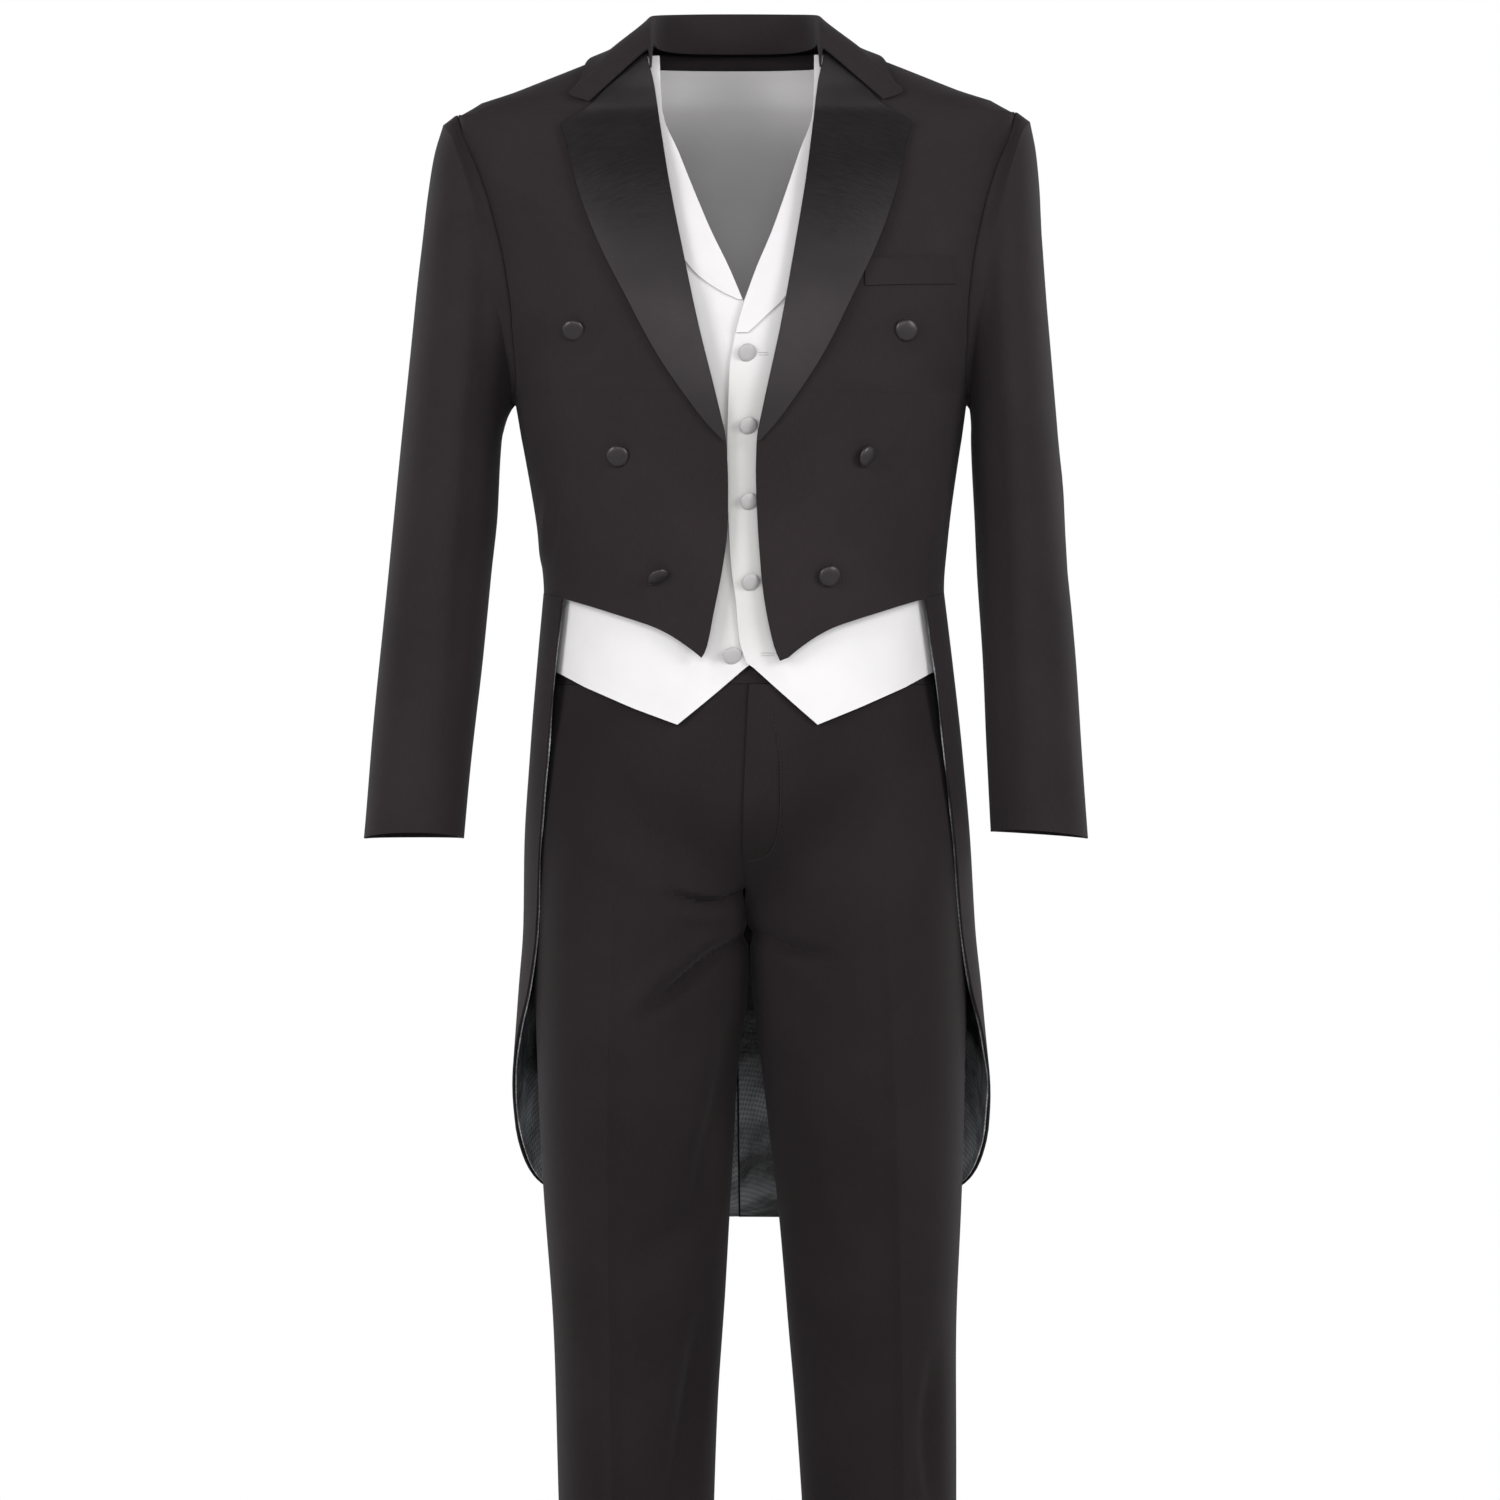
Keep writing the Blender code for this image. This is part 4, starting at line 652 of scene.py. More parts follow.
def cloth(name, grid, fabric, side=1, relief=None, ring=False, gap=SHOWN_GAP / 2,
          trim=0, shift=None, sharp=SHARP_ANGLE):
    """A piece of cloth on a grid of points, moved out by its relief and given its thickness."""
    wall, look, slot = fabric
    grid = np.asarray(grid, dtype=float)
    if side < 0:
        grid = mirrored(grid)
    if shift is not None:
        grid = shift(grid)
    if relief is not None:
        grid = grid + grid_normals(grid, ring) * relief(grid)[..., None]
    grid = lean(grid)
    inner = grid - grid_normals(grid, ring) * wall
    if trim:
        grid, inner = grid[:, trim:-trim], inner[:, trim:-trim]
    outer, inner = pulled_in(grid, ring, gap), pulled_in(inner, ring, gap)
    piece = cloth_mesh(f"{name}_cloth", outer, inner, ring, look, sharp)
    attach(piece, "root")
    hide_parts(name)


def cells_grid(form, cells):
    return [[raised(form, z, turn, out) for z, turn, out in row] for row in cells]


# Materials
CLOUD_RANGE = (0.35, 0.65)  # the share of a cloud in which the colour changes


class Look:
    """A material being put together from nodes."""

    def __init__(self, name, roughness, specular=0.5, sheen=0.0, sheen_roughness=0.4):
        self.material = bpy.data.materials.new(name)
        self.material.use_nodes = True
        self.tree = self.material.node_tree
        self.shader = self.tree.nodes["Principled BSDF"]
        self.shader.inputs["Roughness"].default_value = roughness
        self.shader.inputs["Specular IOR Level"].default_value = specular
        self.shader.inputs["Sheen Weight"].default_value = sheen
        self.shader.inputs["Sheen Roughness"].default_value = sheen_roughness
        self.uv = self.add("ShaderNodeUVMap", uv_map="cloth").outputs[0]

    def add(self, kind, inputs=None, **settings):
        node = self.tree.nodes.new(kind)
        for key, value in settings.items():
            setattr(node, key, value)
        for key, value in (inputs or {}).items():
            if isinstance(value, bpy.types.NodeSocket):
                self.tree.links.new(value, node.inputs[key])
            else:
                node.inputs[key].default_value = value
        return node

    def maths(self, operation, first, second=0.0):
        return self.add("ShaderNodeMath", {0: first, 1: second}, operation=operation).outputs[0]

    def threads(self, across, along):
        """A wave over the cloth, with this many turns a metre across and along it."""
        parts = self.add("ShaderNodeSeparateXYZ", {0: self.uv})
        turns = self.maths("MULTIPLY", parts.outputs[0], across * 2 * math.pi)
        rise = self.maths("MULTIPLY", parts.outputs[1], along * 2 * math.pi)
        return self.maths("SINE", self.maths("ADD", turns, rise))

    def cloud(self, scale, detail=3.0, stretch=(1.0, 1.0, 1.0)):
        place = self.add("ShaderNodeMapping", {0: self.uv, 3: stretch}).outputs[0]
        inputs = {"Vector": place, "Scale": scale, "Detail": detail}
        return self.add("ShaderNodeTexNoise", inputs).outputs["Fac"]

    def blended(self, share, low, high):
        """A colour between two, each given as numbers or as another node's colour."""
        ends = {0: share}
        for index, end in ((6, low), (7, high)):
            ends[index] = end if isinstance(end, bpy.types.NodeSocket) else (*end, 1.0)
        return self.add("ShaderNodeMix", ends, data_type="RGBA").outputs[2]

    def ranged(self, value, low, high, to_low=0.0, to_high=1.0):
        inputs = {0: value, 1: low, 2: high, 3: to_low, 4: to_high}
        return self.add("ShaderNodeMapRange", inputs).outputs[0]

    def mottled(self, share, dark, light):
        """The colour between a dark and a light one by a cloud's share."""
        return self.blended(self.ranged(share, *CLOUD_RANGE), dark, light)

    def colour(self, socket):
        self.tree.links.new(socket, self.shader.inputs["Base Color"])

    def roughness(self, socket):
        self.tree.links.new(socket, self.shader.inputs["Roughness"])

    def raised_by(self, height, distance, strength=1.0, under=None):
        inputs = {"Height": height, "Distance": distance, "Strength": strength}
        if under is not None:
            inputs["Normal"] = under
        bump = self.add("ShaderNodeBump", inputs).outputs[0]
        self.tree.links.new(bump, self.shader.inputs["Normal"])
        return bump


def wool_look(name, dark, light):
    """Fine worsted: a steep twill, a faint mottle and almost no shine."""
    look = Look(name, 0.85, specular=0.14, sheen=0.035, sheen_roughness=0.5)
    mottle = look.maths("MULTIPLY", look.cloud(scale=9.0, detail=4.0), 0.7)
    slub = look.cloud(scale=700.0, detail=2.0, stretch=(1.0, 0.18, 1.0))
    share = look.maths("ADD", mottle, look.maths("MULTIPLY", slub, 0.3))
    look.colour(look.mottled(share, dark, light))
    twill = look.threads(across=1150.0, along=640.0)
    under = look.raised_by(twill, distance=0.00006, strength=0.35)
    look.raised_by(slub, distance=0.00012, strength=0.35, under=under)
    return look.material


def satin_look(name, dark, light, roughness, specular, sheen=0.08):
    """Satin: smooth floats along the cloth that spread the shine, and faint cross ribs."""
    look = Look(name, roughness, specular=specular, sheen=sheen, sheen_roughness=0.3)
    look.shader.inputs["Specular Tint"].default_value = (1.0, 0.90, 0.92, 1.0)
    look.colour(look.mottled(look.cloud(scale=14.0, detail=4.0), dark, light))
    streaks = look.cloud(scale=520.0, detail=2.0, stretch=(0.12, 1.0, 1.0))
    look.roughness(look.ranged(streaks, 0.3, 0.7, roughness - 0.05, roughness + 0.06))
    ribs = look.threads(across=0.0, along=1400.0)
    under = look.raised_by(ribs, distance=0.00003, strength=0.25)
    look.raised_by(streaks, distance=0.00010, strength=0.30, under=under)
    return look.material


def lining_look():
    """Lining jacquard: small diamonds on a satin ground, crumpled, with glints painted into its
    colour as light silver patches.
    """
    look = Look("lining_jacquard", 0.34, specular=0.7)
    one, two = (look.threads(across=across, along=120.0) for across in (170.0, -170.0))
    diamonds = look.maths("MULTIPLY", one, two)
    crumple = look.cloud(scale=16.0, detail=5.0)
    # painted highlight: light silver patches by the crumple cloud stand in for glints; the diamonds
    # are the cloth's own figure
    painted_glints = look.ranged(crumple, 0.42, 0.62, 0.05, 1.0)
    figure = look.ranged(diamonds, -0.35, 0.35, 0.0, 0.45)
    share = look.maths("MULTIPLY", painted_glints, look.maths("ADD", figure, 0.55))
    look.colour(look.blended(share, (0.010, 0.0105, 0.011), (0.52, 0.54, 0.57)))
    look.roughness(look.ranged(diamonds, -1.0, 1.0, 0.28, 0.46))
    under = look.raised_by(crumple, distance=0.012, strength=0.9)
    look.raised_by(diamonds, distance=0.00015, strength=0.6, under=under)
    return look.material


def white_look(name, shade, light, roughness, sheen, painted_shade=None):
    """White waistcoat cloth: a fine corded weave with a soft shine, and, when given, painted shade in
    the strip between the coat's fronts.
    """
    look = Look(name, roughness, specular=0.4, sheen=sheen, sheen_roughness=0.35)
    colour = look.mottled(look.cloud(scale=10.0, detail=4.0), shade, light)
    # painted shade: the cloth's colour is darkened in the strip between the coat's fronts
    if painted_shade is not None:
        place = look.add("ShaderNodeTexCoord").outputs["Object"]
        across, _, height = look.add("ShaderNodeSeparateXYZ", {0: place}).outputs
        off = look.maths("ABSOLUTE", look.maths("SUBTRACT", across, PAINTED_SHADE_STRIP["middle"]))
        share = look.maths("MULTIPLY", look.ranged(off, *PAINTED_SHADE_STRIP["reach"], 1.0, 0.0),
                           look.ranged(height, *PAINTED_SHADE_STRIP["foot"]))
        share = look.maths("MULTIPLY", share, look.ranged(height, *PAINTED_SHADE_STRIP["top"], 1.0, 0.0))
        colour = look.blended(share, colour, painted_shade)
    look.colour(colour)
    cord = look.threads(across=0.0, along=900.0)
    twill = look.threads(across=700.0, along=500.0)
    under = look.raised_by(cord, distance=0.00003, strength=0.25)
    look.raised_by(twill, distance=0.00004, strength=0.20, under=under)
    return look.material


def thread_look(name, dark, light):
    look = Look(name, 0.6, specular=0.3, sheen=0.1)
    twist = look.cloud(scale=900.0, detail=2.0)
    look.colour(look.blended(twist, dark, light))
    look.raised_by(twist, distance=0.0001, strength=0.5)
    return look.material


# The strip of the waistcoat that lies in the coat's shade, between the two fronts, and its colour
# there, which is painted shade
PAINTED_SHADE_STRIP = {"middle": 0.0125, "reach": (0.020, 0.036), "foot": (-0.530, -0.470),
         "top": (-0.290, -0.215)}
STRIP_PAINTED_SHADE = (0.60, 0.585, 0.58)

# The suit's materials: a darker and a lighter colour of each
WORSTED = wool_look("coat_worsted", (0.0158, 0.0120, 0.0132), (0.0214, 0.0165, 0.0181))
# painted shade: the trousers' worsted is a darker copy of the coat's, for the light that falls off
# down the legs
SHADED_TROUSER_WORSTED = wool_look("trouser_worsted", (0.0116, 0.0085, 0.0092), (0.0160, 0.0118, 0.0127))
LAPEL_SATIN = satin_look("lapel_satin", (0.0065, 0.0058, 0.0065), (0.0100, 0.0089, 0.0099),
                         roughness=0.40, specular=0.36)
BUTTON_SATIN = satin_look("button_satin", (0.0110, 0.0096, 0.0105), (0.0160, 0.0140, 0.0152),
                          roughness=0.36, specular=0.50)
WHITE_WEAVE = white_look("waistcoat_cloth", (0.68, 0.668, 0.673), (0.73, 0.718, 0.725),
                         roughness=0.55, sheen=0.05, painted_shade=STRIP_PAINTED_SHADE)
REVERS_SATIN = white_look("waistcoat_satin", (0.66, 0.646, 0.655), (0.71, 0.696, 0.705),
                          roughness=0.42, sheen=0.10)
# painted shade: the buttons' white cloth is a darker copy of the waistcoat's, for the shade they sit
# in
PAINTED_SHADE_BUTTON_CLOTH = white_look("waistcoat_button", (0.40, 0.388, 0.392), (0.46, 0.447, 0.45),
                          roughness=0.42, sheen=0.05)
DARK_THREAD = thread_look("dark_thread", (0.012, 0.010, 0.011), (0.022, 0.019, 0.020))
WHITE_THREAD = thread_look("white_thread", (0.55, 0.53, 0.53), (0.70, 0.68, 0.68))

# Fabrics: wall, material and slot
WOOL = (WOOL_WALL, WORSTED, "wool")
WELT_WOOL = (WELT_WALL, WORSTED, "wool")
SATIN = (SATIN_WALL, LAPEL_SATIN, "satin")
LINING = (LINING_WALL, lining_look(), "lining")
WHITE = (WOOL_WALL, WHITE_WEAVE, "white_cloth")
WHITE_SATIN = (LINING_WALL, REVERS_SATIN, "white_satin")
TROUSER_WOOL = (WOOL_WALL, SHADED_TROUSER_WORSTED, "trouser_wool")
BAND_WOOL = (WAISTBAND_WALL, SHADED_TROUSER_WORSTED, "trouser_wool")


# Pieces of the coat
def ring_heights():
    middle, reach = (SHOULDER_TIP + ARMPIT) / 2, (SHOULDER_TIP - ARMPIT) / 2
    half = RING_POINTS // 2
    return [middle - reach * math.cos(math.pi * i / half) for i in range(half + 1)]


def body_heights():
    low, top = fine(BODY_ROWS_LOW, ROWS["body_low"]), fine(BODY_ROWS_TOP, ROWS["body_top"])
    return low + ring_heights() + top


def outer_turn(z, column, table, low, tip):
    """Where a body panel ends: side seam, armhole or shoulder seam."""
    if z <= low + 1e-6:
        return SIDE_TURN
    if z >= tip:
        return 90.0
    return table.at(z, column)


def coat_relief(points):
    return folds_at(points, COAT_FOLDS) + ripples_at(points, *RIPPLES["coat"])


def armhole_seam(side):
    """The groove of the armhole's seam on one half of the coat."""
    grooves = []
    for face in ("front", "back"):
        line = [on_form(COAT_FORM, z, ARMHOLE.at(z, face)) for z in ring_heights()[1:]]
        grooves.append(([(side * point[0], point[2]) for point in line], *ARMHOLE_GROOVE, face))
    return grooves


def body_relief(points):
    """The coat's relief with its armhole seam and, on the wearer's left, the pocket's mouth."""
    side = 1 if points[..., 0].mean() > 0 else -1
    seams = armhole_seam(side) + ([WELT_GROOVE] if side > 0 else [])
    return coat_relief(points) + folds_at(points, seams)


def coat_front_cells(side):
    cells = []
    for height in body_heights():
        weight = smooth(CUTAWAY_START, WAIST_SEAM, height)
        edge_z = height - weight * CUTAWAY.at(0, "drop")
        sway = side * FRONT_SWAY * smooth(SWAY_TOP, SWAY_FULL, edge_z)
        first = turn_at(COAT_FORM, edge_z, FRONT_EDGE.at(edge_z, "reach") - sway)
        last = outer_turn(height, "front", ARMHOLE, ARMPIT, SHOULDER_TIP)
        row = []
        for turn in even_steps(first, last, COLUMNS["coat_front"]):
            row.append((height - weight * CUTAWAY.at(turn, "drop"), turn, 0.0))
        cells.append(row)
    return cells


def make_coat_body():
    back = []
    for height in body_heights():
        first = outer_turn(height, "back", ARMHOLE, ARMPIT, SHOULDER_TIP)
        turns = even_steps(first, 180, COLUMNS["coat_back"])
        back.append([(height, turn, 0.0) for turn in turns])
    for end, side in SIDES:
        for part, cells in (("coat_front", coat_front_cells(side)), ("coat_back", back)):
            cloth(f"{part}_{end}", cells_grid(COAT_FORM, cells), WOOL, side, body_relief)


def tail_flute(z, turn):
    """Soft lengthwise waves of the hanging tails, deeper towards the hem."""
    depth = FLUTE_DEPTH * smooth(*FLUTE_HEIGHTS, z)
    return depth * math.cos(math.radians(180 - turn) * FLUTE_TURNS)


def tail_cells(lap, tuck):
    """A tail from hem to waist: its vent edge laps past the centre, laid in by a tuck."""
    cells = []
    for height in fine(TAIL_ROWS, ROWS["tail"]):
        weight = smooth(VENT_FULL, WAIST_SEAM, height)
        last_turn = 180 + lap * smooth(VENT_TOP, VENT_FULL, height)
        tuck_here = tuck * smooth(WAIST_SEAM, VENT_TOP, height)
        row = []
        for turn in even_steps(TAIL_FORM.at(height, "edge_turn"), last_turn, COLUMNS["tail"]):
            z = height - weight * CUTAWAY.at(turn, "drop")
            row.append((z, turn, tail_flute(z, turn) - tuck_here * smooth(*VENT_TURNS, turn)))
        cells.append(row)
    return cells


def tail_relief(points):
    return ripples_at(points, *RIPPLES["tail"]) * smooth(*TAIL_RIPPLE_HEIGHTS, points[..., 2])


def lining_relief(points):
    """The lining sags and crumples between the seams that hold it."""
    return tail_relief(points) + ripples_at(points, *RIPPLES["lining"])


def make_tails():
    under = WOOL_WALL + LINING_GAP
    for end, side in SIDES:
        cells = tail_cells(**VENT[end])
        cloth(f"tail_{end}", cells_grid(TAIL_FORM, cells), WOOL, side, tail_relief)
        cells = [[(z, turn, out - under) for z, turn, out in row] for row in cells]
        cloth(f"tail_lining_{end}", cells_grid(TAIL_FORM, cells), LINING, side, lining_relief,
              gap=LINING_EDGE / 2)


def armhole_rings():
    """Rings where a sleeve comes out of the coat's armhole and rolls over its seam."""
    heights = ring_heights()
    back = [(z, ARMHOLE.at(z, "back")) for z in heights[::-1]]
    front = [(z, ARMHOLE.at(z, "front")) for z in heights[1:-1]]
    places = back + front
    loop = np.array([on_form(COAT_FORM, z, turn) for z, turn in places])
    normals = np.array([form_normal(COAT_FORM, z, turn) for z, turn in places])
    tangents = np.roll(loop, -1, axis=0) - np.roll(loop, 1, axis=0)
    inwards = np.cross(normals, tangents)
    inwards /= np.linalg.norm(inwards, axis=1, keepdims=True)
    if np.sum(inwards * (loop.mean(axis=0) - loop)) < 0:
        inwards = -inwards
    return [loop - inwards * over + normals * out for over, out in SLEEVE_ROLL]


def sleeve_ring(ring, end):
    """One ring of a sleeve, from its outer point by the back and the inner point."""
    size = {name: SLEEVE.at(ring, name) for name in SLEEVE.column}
    outer_x = size["outer_x"] + SLEEVE_SHIFT[end].at(ring, "outer")
    inner_x = size["inner_x"] + SLEEVE_SHIFT[end].at(ring, "inner")
    cuff = smooth(*CUFF_RINGS, ring)
    row = []
    for i in range(RING_POINTS):
        angle = 2 * math.pi * i / RING_POINTS
        share = (1 + math.cos(angle)) / 2
        x = inner_x + (outer_x - inner_x) * share - size["bow"] * abs(math.sin(angle))
        z = size["inner_z"] + (size["outer_z"] - size["inner_z"]) * share
        z += cuff * CUFFS[end]["rise"] * max(0.0, -math.sin(angle))
        z += cuff * CUFFS[end]["slant"] * (1 - share)
        row.append((x, size["deep"] + size["half_depth"] * math.sin(angle), z))
    return row


def sleeve_relief(points):
    """The sleeve's folds, which fade into the coat's own relief at the armhole."""
    hang = smooth(*SLEEVE_RIPPLE_HEIGHTS, points[..., 2])
    sleeve = folds_at(points, SLEEVE_FOLDS) + ripples_at(points, *RIPPLES["sleeve"]) * hang
    from_head = np.arange(len(points))[::-1, None] / SLEEVE_FADE_ROWS
    share = smooth(0.0, 1.0, from_head)
    return coat_relief(points) * (1 - share) + sleeve * share


def make_sleeves():
    for end, side in SIDES:
        rows = armhole_rings()
        head, first = rows[-1], np.array(sleeve_ring(1, end))
        for share in SLEEVE_HEAD_SHARES:
            rows.append(head + (first - head) * share)
        rows += [sleeve_ring(ring, end) for ring in fine(SLEEVE_STATIONS, ROWS["sleeve"])]
        cloth(f"sleeve_{end}", np.array(rows)[::-1], WOOL, side, sleeve_relief, ring=True)


def lapel_out(across, along):
    """How far a lapel stands off the coat: soft at its outer edge, flat at both ends."""
    return LAPEL_CLEAR + LAPEL_LIFT * across * math.sin(math.pi * along)


def lapel_relief(points):
    return ripples_at(points, *RIPPLES["lapel"])


def make_lapels():
    rows = fine(LAPEL_ROWS, ROWS["lapel"])
    cells = []
    for z in rows:
        along = (z - rows[0]) / (rows[-1] - rows[0])
        table = LAPEL_EDGE if z <= LAPEL_EDGE.key[-1] else LAPEL_TOP
        first, last = FRONT_EDGE.at(z, "reach") + LAPEL_SETBACK, table.at(z, "reach")
        row = []
        for across in even_steps(0.0, 1.0, COLUMNS["lapel"]):
            turn = turn_at(COAT_FORM, z, first + (last - first) * across)
            row.append((z, turn, lapel_out(across, along)))
        cells.append(row)
    for end, side in SIDES:
        cloth(f"lapel_{end}", cells_grid(COAT_FORM, cells), SATIN, side, lapel_relief)


def collar_row(station):
    """One section of the collar: down the stand's inside, then over the roll to the fall's edge."""
    size = {name: COLLAR.at(station, name) for name in COLLAR.column}
    edge = raised(COAT_FORM, size["edge_z"], size["edge_turn"], COLLAR_REST)
    roll = np.array([size["roll_x"], size["roll_y"], size["roll_z"]])
    outward = edge - roll
    outward[2] = 0
    outward /= np.linalg.norm(outward)
    up = np.array([0.0, 0.0, 1.0])
    shoulder = roll + outward * ROLL_SHOULDER[0] - up * ROLL_SHOULDER[1]
    belly = (shoulder + edge) / 2 + outward * size["belly_out"] + up * size["belly_up"]
    skirt = (belly + edge) / 2 - outward * size["sag"]
    inside = roll + outward * ROLL_INSIDE[0] - up * ROLL_INSIDE[1]
    foot = roll + outward * ROLL_FOOT - up * size["stand"]
    return [foot, (inside + foot) / 2, inside, roll, shoulder, belly, skirt, edge]


def make_collar():
    stations = even_steps(COLLAR.key[0], COLLAR.key[-1], COLUMNS["collar"])
    left = np.array([collar_row(station) for station in stations])
    right = left[-2::-1] * np.array([-1.0, 1.0, 1.0])
    rows = np.swapaxes(np.concatenate([left, right]), 0, 1)[::-1]
    cloth("collar", curved(rows, ROWS["collar"]), WOOL)


def make_welt():
    cells = []
    for share in even_steps(0.0, 1.0, ROWS["welt"]):
        row = []
        for reach in even_steps(WELT.key[0], WELT.key[-1], COLUMNS["welt"]):
            low, high = WELT.at(reach, "low"), WELT.at(reach, "high")
            z = low + (high - low) * share
            row.append((z, turn_at(COAT_FORM, z, reach), WELT_WALL + SEAM_GAP))
        cells.append(row)
    cloth("breast_welt", cells_grid(COAT_FORM, cells), WELT_WOOL, relief=coat_relief)


# Pieces of the waistcoat
def tuck_at(tuck, reach, z):
    """How far the under front lies in below the other where the two lap."""
    return tuck * (1 - smooth(*TUCK_REACH, reach)) * smooth(*TUCK_HEIGHTS, z)


def waistcoat_front(lap, tuck):
    """A waistcoat front, its edge lapped over the centre line and tucked in."""
    low, top = WAISTCOAT_ARMHOLE.key[0], WAISTCOAT_ARMHOLE.key[-1]
    cells = []
    for height in fine(WAISTCOAT_ROWS, ROWS["waistcoat_front"]):
        weight = smooth(HEM_START, HEM_TOP, height)
        last = outer_turn(height, "front", WAISTCOAT_ARMHOLE, low, top)
        if height > WAISTCOAT_V.key[0]:
            first_reach = WAISTCOAT_V.at(height, "reach")
        else:
            first_reach = OVERLAP_EDGE.at(height, "reach") * lap
        first = turn_at(WAISTCOAT_FORM, height, first_reach)
        tip = max(turn_at(WAISTCOAT_FORM, height, HEM_TIP), first + (last - first) * TIP_SHARE)
        turns = even_steps(first, tip, COLUMNS["waistcoat_tip"])
        row = []
        for turn in turns + even_steps(tip, last, COLUMNS["waistcoat_side"])[1:]:
            reach = on_form(WAISTCOAT_FORM, height, turn)[0]
            z = height + weight * (WAISTCOAT_HEM.straight(reach, "z") - HEM_TOP)
            row.append((z, turn, -tuck_at(tuck, reach, height)))
        cells.append(row)
    return cells


def centred(grid):
    """Shifts a waistcoat's edge so that its closing line lies on the buttons' line."""
    grid = grid.copy()
    nearness = np.clip(1 - np.abs(grid[..., 0]) / CENTRE_REACH, 0, 1)
    grid[..., 0] += WAISTCOAT_CENTRE * nearness
    return grid


def waistcoat_relief(points):
    return ripples_at(points, *RIPPLES["waistcoat"])


def make_waistcoat():
    for end, side in SIDES:
        grid = cells_grid(WAISTCOAT_FORM, waistcoat_front(**LAPS[end]))
        cloth(f"waistcoat_front_{end}", grid, WHITE, side, waistcoat_relief, shift=centred)
    low, tip = WAISTCOAT_ARMHOLE.key[0], WAISTCOAT_ARMHOLE.key[-1]
    cells = []
    for height in fine(WAISTCOAT_ROWS, ROWS["waistcoat_back"]):
        z = height + smooth(HEM_START, HEM_TOP, height) * (WAISTCOAT_BACK_HEM - HEM_TOP)
        first = outer_turn(height, "back", WAISTCOAT_ARMHOLE, low, tip)
        turns = even_steps(first, 360 - first, COLUMNS["waistcoat_back"])
        cells.append([(z, turn, 0.0) for turn in turns])
    cloth("waistcoat_back", cells_grid(WAISTCOAT_FORM, cells), WHITE)


def revers_cells(heights, edge, tuck):
    cells = []
    for z in heights:
        table = WAISTCOAT_V if z > WAISTCOAT_V.key[0] else OVERLAP_EDGE
        first = table.at(z, "reach") + REVERS_SETBACK
        row = []
        for across in even_steps(0.0, 1.0, COLUMNS["revers"]):
            reach = first + (edge.at(z, "reach") - first) * across
            out = LINING_WALL + REVERS_CLEAR - tuck_at(tuck, reach, z)
            row.append((z, turn_at(WAISTCOAT_FORM, z, reach), out))
        cells.append(row)
    return cells


def make_revers():
    for end, side in SIDES:
        edge = Table("z reach", REVERS_LOW_EDGE[end] + REVERS_EDGE)
        heights = fine(REVERS_LOW_ROWS[end] + REVERS_ROWS, ROWS["revers"])
        grid = cells_grid(WAISTCOAT_FORM, revers_cells(heights, edge, LAPS[end]["tuck"]))
        cloth(f"revers_{end}", grid, WHITE_SATIN, side, waistcoat_relief, shift=centred)


# Pieces of the trousers
def leg_point(z, turn):
    """A point of a trouser leg's section: 0 is the front crease, 90 the outer side."""
    angle = math.radians(turn)
    side, ahead = math.sin(angle), math.cos(angle)
    depth = LEG_FORM.at(z, "front" if ahead > 0 else "back")
    crown = (1 - CREASE_SHARPNESS) * abs(ahead) + CREASE_SHARPNESS * (1 - abs(side))
    shift = (LEG_FORM.at(z, "crease") - LEG_FORM.at(z, "middle")) * ahead * ahead
    x = LEG_FORM.at(z, "middle") + LEG_FORM.at(z, "half") * side + shift
    y = LEG_FORM.at(z, "deep") - math.copysign(depth * crown, ahead)
    return np.array([x, y, z])


def trouser_relief(points):
    face = "front" if points[..., 1].mean() < 0 else "back"
    side = 1 if points[..., 0].mean() > 0 else -1
    crease = [(side * LEG_FORM.at(z, "crease"), z) for z in CREASE_HEIGHTS]
    seams = [(crease, *CREASE_RIDGE, face)]
    if face == "front" and side > 0:
        seams.append((FLY_STITCH, *FLY_GROOVE, face))
    return folds_at(points, TROUSER_FOLDS + seams) + ripples_at(points, *RIPPLES["trousers"])


def fly_lap(grid):
    """Carries the left front's centre edge over the right one along the fly."""
    grid = grid.copy()
    x, z = grid[..., 0], grid[..., 2]
    edge = np.interp(z, *np.array(sorted(FLY_EDGE)).T)
    open_part = smooth(*FLY_FOOT, z)
    near = np.clip(1 - np.abs(x) / FLY_NEAR, 0, 1)
    if x.mean() > 0:
        grid[..., 1] -= FLY_LIFT * open_part * (1 - smooth(*FLY_RAISED, x))
        grid[..., 0] += near * edge
    else:
        grid[..., 0] += near * (edge + FLY_UNDER * open_part)
    return grid


def trouser_shares():
    """Places across a panel from the side seam to the centre seam, closest near the fly."""
    shares = [0.0]
    for first, last, count in TROUSER_SHARES:
        shares += even_steps(first, last, count)[1:]
    return [2 * shares[0] - shares[1]] + shares + [2 * shares[-1] - shares[-2]]


